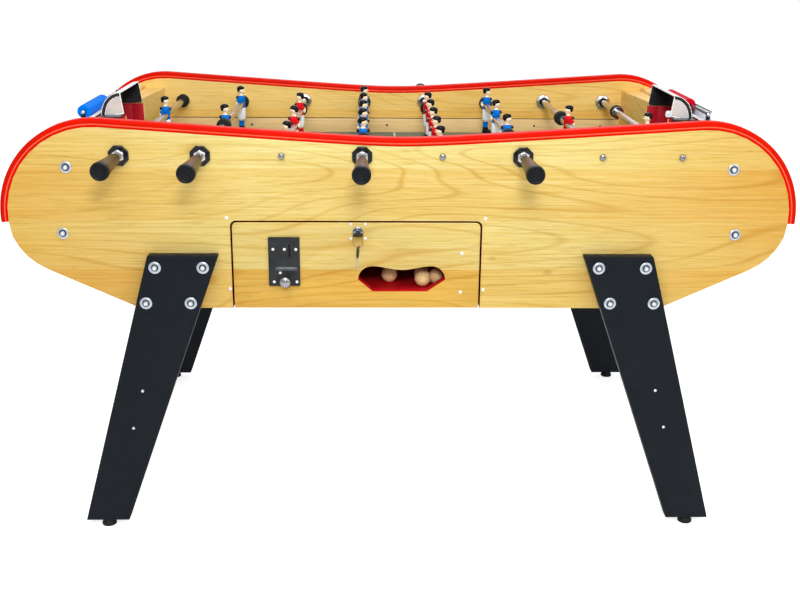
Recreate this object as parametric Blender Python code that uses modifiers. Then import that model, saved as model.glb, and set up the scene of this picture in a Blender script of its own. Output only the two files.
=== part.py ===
"""Coin-operated table football with telescopic rods, in metres, +Z up, on the floor."""
import math

import bmesh
import bpy
from mathutils import Matrix, Vector

# Clearances between pieces
GAP = 0.0003
RUN_GAP = 0.0005
HOLE_GAP = 0.0006

# Cabinet outline seen from the front, its heights measured from the rods' axis
CABINET_WIDTH = 0.83
PANEL_THICKNESS = 0.028
PANEL_OUT = CABINET_WIDTH / 2
PANEL_IN = PANEL_OUT - PANEL_THICKNESS
ROD_HEIGHT = 0.812
PANEL_BOTTOM = ROD_HEIGHT - 0.318
BOTTOM_FLAT_HALF = 0.541
DIP_HEIGHT = ROD_HEIGHT + 0.020
TOP_SLOPE = 0.0675
DIP_ROUNDING = 0.08
END_RADIUS = 0.18
END_CENTRE_X = 0.611
LOWER_CORNER_ANGLE = math.radians(-30)
LOWER_CORNER_ROUNDING = 0.052
TRIM_THICKNESS = 0.0163
TRIM_ROUNDING = 0.005
ARC_STEPS = 11
TRIM_SKIP_COUNT = 1

# Field, end walls and goals
FIELD_TOP = ROD_HEIGHT - 0.085
FIELD_THICKNESS = 0.012
END_WALL_X = 0.640
END_WALL_CORNER_X = 0.612
END_WALL_THICKNESS = 0.024
END_WALL_BOTTOM = FIELD_TOP - 0.027
END_WALL_TOP = ROD_HEIGHT + 0.030
BAND_HEIGHT = 0.038
BAND_GROOVE = 0.0025
GOAL_HALF = 0.100
GOAL_DEPTH = 0.050
GOAL_BOX_WALL = 0.010
GOAL_DROP_LENGTH = 0.040
HOOD_X = 0.6215
HOOD_FOOT_X = 0.615
HOOD_BOTTOM = END_WALL_TOP + 0.004
HOOD_TOP = END_WALL_TOP + 0.052
HOOD_DEPTH = 0.0445
HOOD_SHEET = 0.0025

# Curved end covers and score rails
COVER_SHEET = 0.004
COVER_INSET = 0.007
COVER_START_X = 0.672
RAIL_X = 0.700
RAIL_RISE = 0.0170
RAIL_RADIUS = 0.003
RAIL_LENGTH = 0.345
RED_RAIL_Y = 0.065
BLUE_RAIL_Y = 0.050
POST_THICKNESS = 0.006
BEAD_COUNT = 10
BEAD_LENGTH = 0.018
BEAD_RADIUS = 0.0148
BEAD_WAIST = 0.0134
BEAD_BORE = 0.0036
BLUE_BEADS_Y = -0.029
RED_BEADS_Y = 0.133

# Rods, counted from the blue goal
ROD_PITCH = 0.1605
ROD_X_FIVE = ROD_PITCH * 0.5
ROD_X_THREE = ROD_PITCH * 1.5
ROD_X_TWO = ROD_PITCH * 2.5
ROD_X_ONE = ROD_PITCH * 3.5
TUBE_RADIUS = 0.008
TUBE_BORE = 0.0062
BAR_RADIUS = 0.0052
BAR_REACH = 0.45
BAR_COLLAR_RADIUS = 0.012
BAR_COLLAR_LENGTH = 0.008
BAR_HEAD_RADIUS = 0.0068
BAR_HEAD_LENGTH = 0.006
BUMPER_RADIUS = 0.0165
BUMPER_LENGTH = 0.024
ROUND_STEPS = 10

# Spacing of the men and of the bumpers, as shares of the inner width
SPACING_TWO = PANEL_IN * 0.8553
SPACING_THREE = PANEL_IN * 0.5853
SPACING_FIVE = PANEL_IN * 0.3411
KEEPER_NEAR = PANEL_IN * 0.8114
KEEPER_FAR = PANEL_IN * 0.6537
DEFENCE_NEAR = PANEL_IN * 0.2636

# Handles
HANDLE_LENGTH = 0.126
GRIP_RADIUS = 0.0162
GRIP_NECK_RADIUS = 0.0105
CAP_RADIUS = 0.018
CAP_LENGTH = 0.013
HANDLE_WALL = 0.020
HANDLE_OUT_ONE = PANEL_IN * 0.7183
HANDLE_OUT_TWO = PANEL_IN * 0.8618
HANDLE_OUT_THREE = PANEL_IN * 0.6951
HANDLE_OUT_FIVE = PANEL_IN * 0.6615

# Bearings in the side panels
SLEEVE_RADIUS = 0.0125
FLANGE_ACROSS = 0.040
FLANGE_THICKNESS = 0.006
NOSE_RADIUS = 0.0115
NOSE_LENGTH = 0.008
BUSH_RADIUS = 0.019
BUSH_THICKNESS = 0.007
BUSH_RING_RADIUS = 0.0135
BUSH_RING_LENGTH = 0.009

# Men, measured from the rod's axis
MAN_FOOT = 0.073
MAN_TOP = 0.0445
MAN_SHOULDER_HALF = 0.0165

# Legs and levelling feet
LEG_THICKNESS = 0.025
LEG_TOP = PANEL_BOTTOM + 0.118
LEG_BOTTOM = 0.014
LEG_TOP_OUTER = 0.514
LEG_TOP_INNER = 0.372
LEG_FOOT_OUTER = 0.6815
LEG_FOOT_INNER = 0.589
LEG_ROUNDING = 0.012
FOOT_RADIUS = 0.0155
FOOT_STEM_RADIUS = 0.005
FOOT_STEM_LENGTH = 0.035

# Door, coin plate, lock and ball trough
DOOR_LEFT = -0.346
DOOR_RIGHT = 0.162
DOOR_TOP = PANEL_BOTTOM + 0.184
DOOR_GROOVE = 0.0022
DOOR_ROUNDING = 0.010
DOOR_INSET = 0.001
BALL_HOLE_LEFT = -0.089
BALL_HOLE_RIGHT = 0.093
BALL_HOLE_BOTTOM = PANEL_BOTTOM + 0.036
BALL_HOLE_TOP = PANEL_BOTTOM + 0.090
BALL_HOLE_DIP = 0.008
COIN_LEFT = -0.272
COIN_RIGHT = -0.208
COIN_BOTTOM = PANEL_BOTTOM + 0.049
COIN_TOP = PANEL_BOTTOM + 0.152
COIN_THICKNESS = 0.005
COIN_SLOT_X = -0.229
COIN_SLOT_Z = PANEL_BOTTOM + 0.124
KNOB_X = -0.238
KNOB_Z = PANEL_BOTTOM + 0.061
KNOB_RADIUS = 0.0105
KNOB_OUT = 0.020
KNOB_STEM_RADIUS = 0.004
KNOB_STEM_LENGTH = 0.022
LOCK_X = -0.089
LOCK_Z = PANEL_BOTTOM + 0.163
LOCK_RADIUS = 0.011
LOCK_OUT = 0.004
LOCK_BODY_RADIUS = 0.008
KEYWAY_RADIUS = 0.0036
KEY_DEPTH = 0.015
KEY_BLADE = 0.0055
KEY_BOW_RADIUS = 0.011
KEY_BOW_OUT = 0.024
KEY_THICKNESS = 0.0024
TROUGH_WALL = 0.006
TROUGH_BOTTOM = PANEL_BOTTOM + 0.018
TROUGH_TOP = PANEL_BOTTOM + 0.106

# Faces that follow from the sizes above
INSIDE = PANEL_IN - GAP
BEARING_IN = PANEL_IN - GAP - BUSH_THICKNESS - BUSH_RING_LENGTH
BEARING_BORE = (TUBE_RADIUS + RUN_GAP) / math.cos(math.pi / ROUND_STEPS)
COLLAR_FACE = PANEL_IN - GAP - BAR_COLLAR_LENGTH
JOIN_TILT = math.atan(TOP_SLOPE)
JOIN_X = END_CENTRE_X - END_RADIUS * math.sin(JOIN_TILT)

# One line per rod: name, team, x, men, spacing, room left to push it in at
# rest, how far the handle's end lies behind the men's middle and the cabinet
# face, and how far the near and far bumpers sit from the nearest man
MAN_REACH = MAN_SHOULDER_HALF + BUMPER_LENGTH / 2
RODS = (
    ("blue_goal", "blue", -ROD_X_ONE, 1, 0.0, 0.0012, HANDLE_OUT_ONE, KEEPER_NEAR, KEEPER_FAR),
    ("blue_two", "blue", -ROD_X_TWO, 2, SPACING_TWO, 0.0222, HANDLE_OUT_TWO, MAN_REACH, MAN_REACH),
    ("red_three", "red", -ROD_X_THREE, 3, SPACING_THREE, 0.0787, HANDLE_OUT_THREE, MAN_REACH, MAN_REACH),
    ("blue_five", "blue", -ROD_X_FIVE, 5, SPACING_FIVE, 0.0087, HANDLE_OUT_FIVE, MAN_REACH, MAN_REACH),
    ("red_five", "red", ROD_X_FIVE, 5, SPACING_FIVE, 0.0282, HANDLE_OUT_FIVE, MAN_REACH, MAN_REACH),
    ("blue_three", "blue", ROD_X_THREE, 3, SPACING_THREE, 0.0257, HANDLE_OUT_THREE, MAN_REACH, MAN_REACH),
    ("red_two", "red", ROD_X_TWO, 2, SPACING_TWO, 0.0032, HANDLE_OUT_TWO, DEFENCE_NEAR, MAN_REACH),
    ("red_goal", "red", ROD_X_ONE, 1, 0.0, 0.0012, HANDLE_OUT_ONE, KEEPER_NEAR, KEEPER_FAR),
)

# Colours, roughness and metallic value
WOOD = ("oak", (0.72, 0.48, 0.20, 1.0), 0.45, 0.0)
RED_TRIM = ("red_trim", (0.75, 0.02, 0.01, 1.0), 0.25, 0.0)
BLACK = ("black_paint", (0.015, 0.015, 0.017, 1.0), 0.40, 0.0)
CHROME = ("chrome", (0.80, 0.80, 0.82, 1.0), 0.12, 1.0)
STEEL = ("steel", (0.60, 0.60, 0.62, 1.0), 0.25, 1.0)
GREEN = ("field_green", (0.22, 0.27, 0.23, 1.0), 0.60, 0.0)
WHITE = ("cover_white", (0.80, 0.80, 0.80, 1.0), 0.40, 0.0)
BLUE = ("team_blue", (0.01, 0.16, 0.62, 1.0), 0.30, 0.0)
RED = ("team_red", (0.62, 0.02, 0.02, 1.0), 0.30, 0.0)
BROWN = ("dark_wood", (0.09, 0.035, 0.02, 1.0), 0.40, 0.0)
CHARCOAL = ("charcoal", (0.05, 0.05, 0.055, 1.0), 0.45, 0.3)
MAROON = ("maroon", (0.22, 0.01, 0.015, 1.0), 0.45, 0.0)


def clear_scene():
    for item in list(bpy.data.objects):
        bpy.data.objects.remove(item, do_unlink=True)


def make_collection(name):
    group = bpy.data.collections.new(name)
    bpy.context.scene.collection.children.link(group)
    return group


def make_material(name, look):
    paint = bpy.data.materials.new(name + "_" + look[0])
    paint.use_nodes = True
    shader = paint.node_tree.nodes["Principled BSDF"]
    shader.inputs["Base Color"].default_value = look[1]
    shader.inputs["Roughness"].default_value = look[2]
    shader.inputs["Metallic"].default_value = look[3]
    paint.diffuse_color = look[1]
    return paint


clear_scene()
PARTS = make_collection("table_football")
CUTTERS = make_collection("cutters")


def evaluated_mesh(item, name):
    bpy.context.view_layer.update()
    graph = bpy.context.evaluated_depsgraph_get()
    mesh = bpy.data.meshes.new_from_object(item.evaluated_get(graph))
    mesh.name = name
    mesh.transform(item.matrix_world)
    bpy.data.objects.remove(item, do_unlink=True)
    net = bmesh.new()
    net.from_mesh(mesh)
    bmesh.ops.remove_doubles(net, verts=net.verts, dist=0.00001)
    bmesh.ops.recalc_face_normals(net, faces=net.faces)
    net.to_mesh(mesh)
    net.free()
    return mesh


def plate(name, outline, start, stop):
    """A flat outline in X and Z, filled and thickened from one Y to another."""
    curve = bpy.data.curves.new(name, "CURVE")
    curve.dimensions = "2D"
    curve.fill_mode = "BOTH"
    curve.extrude = abs(stop - start) / 2
    line = curve.splines.new("POLY")
    line.points.add(len(outline) - 1)
    for point, place in zip(line.points, outline):
        point.co = (place[0], place[1], 0.0, 1.0)
    line.use_cyclic_u = True
    item = bpy.data.objects.new(name, curve)
    item.rotation_euler = (math.pi / 2, 0.0, 0.0)
    item.location = (0.0, (start + stop) / 2, 0.0)
    PARTS.objects.link(item)
    return evaluated_mesh(item, name)


def turned(name, profile, steps, closed=False):
    """A profile of radius and height pairs turned about Z."""
    mesh = bpy.data.meshes.new(name)
    points = [(radius, 0.0, height) for radius, height in profile]
    edges = [(i, i + 1) for i in range(len(points) - 1)]
    if closed:
        edges.append((len(points) - 1, 0))
    mesh.from_pydata(points, edges, [])
    item = bpy.data.objects.new(name, mesh)
    PARTS.objects.link(item)
    spin = item.modifiers.new("turn", "SCREW")
    spin.steps = steps
    spin.render_steps = steps
    spin.use_merge_vertices = True
    spin.merge_threshold = 0.00001
    return evaluated_mesh(item, name)


def rod_mesh(radius, start, stop, steps):
    """A round bar along Y."""
    net = bmesh.new()
    turn = Matrix.Translation((0.0, (start + stop) / 2, 0.0)) @ Matrix.Rotation(math.pi / 2, 4, "X")
    bmesh.ops.create_cone(net, cap_ends=True, segments=steps, radius1=radius, radius2=radius,
                          depth=abs(stop - start), matrix=turn)
    mesh = bpy.data.meshes.new("bar")
    net.to_mesh(mesh)
    net.free()
    return mesh


def box_mesh(low, high):
    net = bmesh.new()
    size = Vector(high) - Vector(low)
    middle = (Vector(high) + Vector(low)) / 2
    bmesh.ops.create_cube(net, size=1.0, matrix=Matrix.Translation(middle) @ Matrix.Diagonal((*size, 1.0)))
    mesh = bpy.data.meshes.new("box")
    net.to_mesh(mesh)
    net.free()
    return mesh


def joined(meshes):
    """Several closed shapes kept in one mesh, for use as one cutter."""
    net = bmesh.new()
    for mesh in meshes:
        net.from_mesh(mesh)
    whole = bpy.data.meshes.new("set")
    net.to_mesh(whole)
    net.free()
    return whole


def moved(mesh, matrix):
    copy = mesh.copy()
    copy.transform(matrix)
    if matrix.determinant() < 0:
        copy.flip_normals()
    return copy


def along_y(mesh, sign=1.0):
    """Lay a shape turned about Z along Y, its top towards +Y or -Y."""
    return moved(mesh, Matrix.Rotation(-sign * math.pi / 2, 4, "X"))


def place(name, mesh, look, parent, location=(0.0, 0.0, 0.0), smooth=None):
    item = bpy.data.objects.new(name, mesh)
    PARTS.objects.link(item)
    item.parent = parent
    item.location = location
    if not mesh.materials:
        mesh.materials.append(make_material(name, look))
    if smooth:
        mesh.shade_smooth()
        mesh.set_sharp_from_angle(angle=math.radians(smooth))
    return item


def tool(item, mesh, operation):
    """Cut or join a hidden shape, given in the item's own space."""
    helper = bpy.data.objects.new(item.name + "_" + operation.lower(), mesh)
    CUTTERS.objects.link(helper)
    helper.parent = item
    helper.hide_render = True
    helper.display_type = "WIRE"
    step = item.modifiers.new(operation.lower(), "BOOLEAN")
    step.operation = operation
    step.object = helper
    step.solver = "EXACT"


def rounded(item, width, segments, angle=30.0):
    edge = item.modifiers.new("round", "BEVEL")
    edge.width = width
    edge.segments = segments
    edge.limit_method = "ANGLE"
    edge.angle_limit = math.radians(angle)


def empty(name, parent, location):
    item = bpy.data.objects.new(name, None)
    PARTS.objects.link(item)
    item.parent = parent
    item.location = location
    return item


def half_turn():
    return Matrix.Rotation(math.pi, 4, "Z")


# Outline of the side panels
def top_height(x):
    return DIP_HEIGHT + TOP_SLOPE * (math.hypot(x, DIP_ROUNDING) - DIP_ROUNDING)


def top_tilt(x):
    return math.atan(TOP_SLOPE * x / math.hypot(x, DIP_ROUNDING))


END_CENTRE_Z = top_height(JOIN_X) - END_RADIUS * math.cos(JOIN_TILT)
COVER_RADIUS = END_RADIUS - COVER_INSET
COVER_AT_RAIL = END_CENTRE_Z + math.sqrt(COVER_RADIUS ** 2 - (RAIL_X - END_CENTRE_X) ** 2)
RAIL_HEIGHT = COVER_AT_RAIL + RAIL_RISE


def end_point(angle, offset=0.0):
    reach = END_RADIUS + offset
    return (END_CENTRE_X + reach * math.cos(angle), END_CENTRE_Z + reach * math.sin(angle))


def end_arc(start, stop, steps, offset=0.0):
    return [end_point(start + (stop - start) * i / steps, offset) for i in range(steps + 1)]


def top_line(offset=0.0, steps=10):
    points = []
    for i in range(1, steps):
        x = JOIN_X * (1 - 2 * i / steps)
        tilt = top_tilt(x)
        points.append((x - offset * math.sin(tilt), top_height(x) + offset * math.cos(tilt)))
    return points


def lower_edge(offset=0.0):
    """From the bottom's flat to the end arc, with the soft corner between them."""
    corner = Vector(end_point(LOWER_CORNER_ANGLE, offset))
    flat = Vector((BOTTOM_FLAT_HALF, PANEL_BOTTOM - offset))
    before = corner + (flat - corner).normalized() * LOWER_CORNER_ROUNDING
    after_angle = LOWER_CORNER_ANGLE + LOWER_CORNER_ROUNDING / END_RADIUS
    after = Vector(end_point(after_angle, offset))
    points = [tuple(flat)]
    for i in range(4):
        t = i / 4
        points.append(tuple(before * (1 - t) ** 2 + corner * 2 * t * (1 - t) + after * t * t))
    return points, after_angle


def mirrored(points):
    return [(-x, z) for x, z in reversed(points)]


def side_arc(offset=0.0, first=0):
    """Points round an end, shared by the panel and its trim so that they nest."""
    start = lower_edge()[1]
    return end_arc(start, math.pi / 2 + JOIN_TILT, ARC_STEPS, offset)[first:]


def panel_outline():
    right = lower_edge()[0] + side_arc()
    return right + top_line() + mirrored(right)


def trim_line(offset):
    side = side_arc(offset, TRIM_SKIP_COUNT)
    return side + top_line(offset) + mirrored(side)


def trim_outline():
    return trim_line(GAP + TRIM_THICKNESS) + list(reversed(trim_line(GAP)))


def door_outline(grow):
    left, right, top = DOOR_LEFT - grow, DOOR_RIGHT + grow, DOOR_TOP + grow
    reach = DOOR_ROUNDING + grow
    points = [(left, PANEL_BOTTOM - 4 * max(grow, 0.0)), (right, PANEL_BOTTOM - 4 * max(grow, 0.0))]
    for i in range(5):
        angle = math.pi / 8 * i
        points.append((right - reach + reach * math.cos(angle), top - reach + reach * math.sin(angle)))
    for i in range(5):
        angle = math.pi / 2 + math.pi / 8 * i
        points.append((left + reach + reach * math.cos(angle), top - reach + reach * math.sin(angle)))
    return points


def far_ring_place(rod):
    return COLLAR_FACE - rod[5] - BUMPER_LENGTH / 2


def men_middle(rod):
    """Where the middle of the row of men rests, counted towards the far wall."""
    return far_ring_place(rod) - rod[8] - rod[4] * (rod[3] - 1) / 2


# The whole table hangs on one empty, so that the origin is under its middle
def handle_out(rod):
    """How far the handle's end stands out from the cabinet face at rest."""
    return rod[6] - men_middle(rod)


FRONT_REACH = max(handle_out(rod) for rod in RODS if rod[1] == "blue")
REAR_REACH = max(handle_out(rod) for rod in RODS if rod[1] == "red")
TABLE = empty("table", None, (0.0, (FRONT_REACH - REAR_REACH) / 2, 0.0))


def build_panels():
    for name, side in (("front_side_panel", -1.0), ("rear_side_panel", 1.0)):
        low, high = sorted((side * PANEL_OUT, side * PANEL_IN))
        panel = place(name, plate(name, panel_outline(), low, high), WOOD, TABLE)
        cuts = []
        if side < 0:
            cuts.append(plate("door_hole", door_outline(DOOR_GROOVE), low - 0.01, high + 0.01))
        for rod in RODS:
            handle_side = -1.0 if rod[1] == "blue" else 1.0
            radius = SLEEVE_RADIUS if handle_side == side else BAR_RADIUS
            hole = rod_mesh((radius + HOLE_GAP) / math.cos(math.pi / ROUND_STEPS), low - 0.01, high + 0.01,
                            ROUND_STEPS)
            cuts.append(moved(hole, Matrix.Translation((rod[2], 0.0, ROD_HEIGHT))))
        joint = FIELD_TOP + BAND_HEIGHT
        groove = box_mesh((-END_WALL_CORNER_X, side * PANEL_IN - BAND_GROOVE, joint - 0.001),
                          (END_WALL_CORNER_X, side * PANEL_IN + BAND_GROOVE, joint + 0.001))
        cuts.append(groove)
        tool(panel, joined(cuts), "DIFFERENCE")
        trim_name = name.replace("side_panel", "edge_trim")
        trim = place(trim_name, plate(trim_name, trim_outline(), low, high), RED_TRIM, TABLE, smooth=50)
        outer_edges(trim, side)


def outer_edges(trim, side):
    """Round only the trim's outer edges, which leaves it seated flat on the panel."""
    mesh = trim.data
    weight = mesh.attributes.new("bevel_weight_edge", "FLOAT", "EDGE")
    outer = TRIM_THICKNESS * 0.6
    for edge in mesh.edges:
        ends = [mesh.vertices[i].co for i in edge.vertices]
        along = abs(ends[0].y - ends[1].y) < 0.001
        outside = all(edge_distance(end.x, end.z) > outer for end in ends)
        if along and outside and not is_end_edge(ends):
            weight.data[edge.index].value = 1.0
    edge = trim.modifiers.new("round", "BEVEL")
    edge.width = TRIM_ROUNDING
    edge.segments = 2
    edge.limit_method = "WEIGHT"


def edge_distance(x, z):
    """Height of a point over the panel's edge."""
    x = abs(x)
    if x > JOIN_X:
        return math.hypot(x - END_CENTRE_X, z - END_CENTRE_Z) - END_RADIUS
    return (z - top_height(x)) * math.cos(top_tilt(x))


def is_end_edge(ends):
    heights = [edge_distance(end.x, end.z) for end in ends]
    return abs(heights[0] - heights[1]) > TRIM_THICKNESS / 2


def build_field():
    right = wall_plan(-GAP)[:4]
    outline = right + [(-x, y) for x, y in reversed(right)]
    place("playfield", flat_plan(outline, FIELD_TOP - FIELD_THICKNESS, FIELD_TOP), GREEN, TABLE)


def wall_plan(outset):
    back = END_WALL_X + END_WALL_THICKNESS
    return [(END_WALL_CORNER_X + outset, INSIDE), (END_WALL_X + outset, GOAL_HALF * 0.9),
            (END_WALL_X + outset, -GOAL_HALF * 0.9), (END_WALL_CORNER_X + outset, -INSIDE),
            (back, -INSIDE), (back, INSIDE)]


def flat_plan(outline, low, high):
    """A plan outline in X and Y, thickened from one height to another."""
    mesh = plate("plan", outline, low, high)
    return moved(mesh, Matrix(((1, 0, 0, 0), (0, 0, 1, 0), (0, 1, 0, 0), (0, 0, 0, 1))))


def build_ends():
    for team, turn in (("blue", half_turn()), ("red", Matrix.Identity(4))):
        wall = flat_plan(wall_plan(0.0), END_WALL_BOTTOM, END_WALL_TOP)
        block = place(team + "_end_wall", moved(wall, turn), WOOD, TABLE)
        back = END_WALL_X + GOAL_DEPTH
        box = box_mesh((END_WALL_X + 0.004, -GOAL_HALF - GOAL_BOX_WALL, FIELD_TOP - GOAL_BOX_WALL),
                       (back + GOAL_BOX_WALL, GOAL_HALF + GOAL_BOX_WALL, END_WALL_TOP - 0.012))
        tool(block, moved(box, turn), "UNION")
        mouth = box_mesh((END_WALL_X - 0.05, -GOAL_HALF, FIELD_TOP), (back, GOAL_HALF, END_WALL_TOP + 0.05))
        drop = box_mesh((back - GOAL_DROP_LENGTH, -GOAL_HALF * 0.7, END_WALL_BOTTOM - 0.01),
                        (back - 0.004, GOAL_HALF * 0.7, FIELD_TOP + 0.01))
        tool(block, moved(mouth, turn), "DIFFERENCE")
        tool(block, moved(drop, turn), "DIFFERENCE")
        build_hood(team, turn)
        build_cover(team, turn)


def hood_outline(inset):
    """Quarter-round section of the goal hood, open to the field and below."""
    wide = HOOD_DEPTH - inset
    tall = HOOD_TOP - END_WALL_TOP - GAP - inset
    base = END_WALL_TOP + GAP
    steps = 9
    arc = []
    for i in range(steps + 1):
        angle = math.pi / 2 * i / steps
        arc.append((HOOD_X + wide * math.cos(angle), base + tall * math.sin(angle)))
    if inset:
        below = [(HOOD_FOOT_X - 0.01, base - 0.01), (HOOD_X + wide, base - 0.01)]
        return below + arc + [(HOOD_FOOT_X - 0.01, base + tall)]
    return [(HOOD_FOOT_X, HOOD_BOTTOM), (END_WALL_X, base)] + arc


def build_hood(team, turn):
    half = GOAL_HALF + HOOD_SHEET
    name = team + "_goal_hood"
    hood = place(name, moved(plate(name, hood_outline(0.0), -half, half), turn), STEEL, TABLE, smooth=35)
    inner = plate("hood_inside", hood_outline(HOOD_SHEET), -GOAL_HALF, GOAL_HALF)
    tool(hood, moved(inner, turn), "DIFFERENCE")


def cover_line(offset):
    start = math.acos((COVER_START_X - END_CENTRE_X) / COVER_RADIUS)
    low, lower = lower_edge(offset)
    return end_arc(start, lower, 11, offset) + list(reversed(low))[:-1] + [low[0]]


def build_cover(team, turn):
    """Curved end sheet that carries the score rail on two posts."""
    name = team + "_end_cover"
    outline = cover_line(-COVER_INSET) + list(reversed(cover_line(-COVER_INSET - COVER_SHEET)))
    cover = place(name, moved(plate(name, outline, -INSIDE, INSIDE), turn), WHITE, TABLE, smooth=35)
    middle = RED_RAIL_Y if team == "red" else -BLUE_RAIL_Y
    low, high = middle - RAIL_LENGTH / 2, middle + RAIL_LENGTH / 2
    for end in (low, high):
        post = box_mesh((RAIL_X - 0.006, end - POST_THICKNESS / 2, COVER_AT_RAIL - COVER_SHEET),
                        (RAIL_X + 0.006, end + POST_THICKNESS / 2, RAIL_HEIGHT + 0.006))
        tool(cover, moved(post, turn), "UNION")
    rail = moved(rod_mesh(RAIL_RADIUS, low, high, 10), Matrix.Translation((RAIL_X, 0.0, RAIL_HEIGHT)))
    tool(cover, moved(rail, turn), "UNION")


def bead_profile():
    """Ten beads end to end, with a waist between each pair, bored for the rail."""
    points = []
    half = BEAD_COUNT * BEAD_LENGTH / 2
    for i in range(BEAD_COUNT):
        top = half - i * BEAD_LENGTH
        points.append((BEAD_WAIST, top))
        points.append((BEAD_RADIUS, top - BEAD_LENGTH * 0.5))
    points.append((BEAD_WAIST, -half))
    points.append((BEAD_BORE, -half))
    points.append((BEAD_BORE, half))
    return points


def build_beads():
    for team, look, sign, middle in (("blue", BLUE, -1.0, BLUE_BEADS_Y), ("red", RED, 1.0, RED_BEADS_Y)):
        name = team + "_score_beads"
        mesh = along_y(turned(name, bead_profile(), 8, closed=True))
        place(name, mesh, look, TABLE, (sign * RAIL_X, middle, RAIL_HEIGHT), smooth=40)


def man_sections():
    """Height, half width, back and front of the cast figure, from the boot up."""
    foot, top, wide = MAN_FOOT, MAN_TOP, MAN_SHOULDER_HALF
    return (
        (-foot, 0.55 * wide, -0.009, 0.015),
        (-0.86 * foot, 0.55 * wide, -0.009, 0.009),
        (-0.62 * foot, 0.58 * wide, -0.009, 0.008),
        (-0.59 * foot, 0.85 * wide, -0.0115, 0.0115),
        (-0.16 * foot, 0.91 * wide, -0.0125, 0.0125),
        (0.40 * top, wide, -0.010, 0.010),
        (0.53 * top, 0.40 * wide, -0.006, 0.006),
        (0.78 * top, 0.55 * wide, -0.0095, 0.0095),
        (top, 0.22 * wide, -0.0045, 0.0045),
    )


def man_mesh():
    """A loft through eight-sided sections, facing +X."""
    net = bmesh.new()
    rings = []
    for height, half, back, front in man_sections():
        middle = (back + front) / 2
        reach = (front - back) / 2
        ring = []
        for i in range(8):
            angle = math.pi / 8 + math.pi / 4 * i
            stretch = 1.0 / math.cos(math.pi / 8)
            x = middle + reach * math.cos(angle) * stretch
            y = half * math.sin(angle) * stretch
            ring.append(net.verts.new((x, y, height)))
        rings.append(ring)
    for low, high in zip(rings, rings[1:]):
        for i in range(8):
            net.faces.new((low[i], low[(i + 1) % 8], high[(i + 1) % 8], high[i]))
    net.faces.new(list(reversed(rings[0])))
    net.faces.new(rings[-1])
    mesh = bpy.data.meshes.new("man")
    net.to_mesh(mesh)
    net.free()
    return mesh


def men_places(rod):
    count, spacing, middle = rod[3], rod[4], men_middle(rod)
    return [middle + spacing * (i - (count - 1) / 2) for i in range(count)]


def bearing_mesh():
    """Octagonal outer flange, sleeve through the panel and round inner bush, along +Z into the table."""
    outer = -PANEL_OUT - GAP - FLANGE_THICKNESS
    inner = -PANEL_IN + GAP
    tip = inner + BUSH_THICKNESS + BUSH_RING_LENGTH
    profile = (
        (0.0, tip),
        (BUSH_RING_RADIUS, tip),
        (BUSH_RING_RADIUS, inner + BUSH_THICKNESS),
        (BUSH_RADIUS, inner + BUSH_THICKNESS),
        (BUSH_RADIUS, inner),
        (SLEEVE_RADIUS, inner),
        (SLEEVE_RADIUS, outer + FLANGE_THICKNESS / 2),
        (NOSE_RADIUS, outer - NOSE_LENGTH),
        (0.0, outer - NOSE_LENGTH),
    )
    core = bpy.data.objects.new("core", turned("core", profile, ROUND_STEPS))
    PARTS.objects.link(core)
    net = bmesh.new()
    reach = FLANGE_ACROSS / 2 / math.cos(math.pi / 8)
    centre = (0.0, 0.0, outer + FLANGE_THICKNESS / 2)
    turn = Matrix.Translation(centre) @ Matrix.Rotation(math.pi / 8, 4, "Z")
    bmesh.ops.create_cone(net, cap_ends=True, segments=8, radius1=reach, radius2=reach,
                          depth=FLANGE_THICKNESS, matrix=turn)
    octagon = bpy.data.meshes.new("octagon")
    net.to_mesh(octagon)
    net.free()
    tool(core, octagon, "UNION")
    bore = rod_mesh(BEARING_BORE, -PANEL_OUT - 0.1, -PANEL_IN + 0.1, ROUND_STEPS)
    bore = moved(bore, Matrix.Rotation(math.pi / 2, 4, "X"))
    tool(core, bore, "DIFFERENCE")
    return along_y(evaluated_mesh(core, "bearing"))


def bar_mesh():
    """Inner bar with its collar and bolt head, pointing away from the far panel along -Y."""
    far = PANEL_IN - GAP
    head = PANEL_OUT + GAP
    profile = (
        (0.0, head + BAR_HEAD_LENGTH),
        (BAR_HEAD_RADIUS * 0.7, head + BAR_HEAD_LENGTH),
        (BAR_HEAD_RADIUS, head + BAR_HEAD_LENGTH * 0.55),
        (BAR_HEAD_RADIUS, head),
        (BAR_RADIUS, head),
        (BAR_RADIUS, far),
        (BAR_COLLAR_RADIUS, far),
        (BAR_COLLAR_RADIUS, far - BAR_COLLAR_LENGTH),
        (BAR_RADIUS, far - BAR_COLLAR_LENGTH),
        (BAR_RADIUS, PANEL_IN - BAR_REACH),
        (0.0, PANEL_IN - BAR_REACH),
    )
    return along_y(turned("inner_bar", profile, 8))


def handle_mesh():
    """Turned grip with its end cap, bored for the tube, outer end at zero and pointing into the table."""
    bore = (TUBE_RADIUS + GAP) / math.cos(math.pi / ROUND_STEPS)
    grip = HANDLE_LENGTH - CAP_LENGTH
    profile = (
        (bore, HANDLE_LENGTH),
        (GRIP_NECK_RADIUS, HANDLE_LENGTH),
        (GRIP_NECK_RADIUS * 1.14, HANDLE_LENGTH - 0.006),
        (GRIP_RADIUS * 0.9, HANDLE_LENGTH - grip * 0.5),
        (GRIP_RADIUS, CAP_LENGTH),
        (CAP_RADIUS, CAP_LENGTH),
        (CAP_RADIUS, CAP_LENGTH * 0.3),
        (CAP_RADIUS * 0.82, 0.0),
        (0.0, 0.0),
        (0.0, HANDLE_WALL - GAP),
        (bore, HANDLE_WALL - GAP),
    )
    return along_y(turned("handle", profile, ROUND_STEPS, closed=True))


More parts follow.
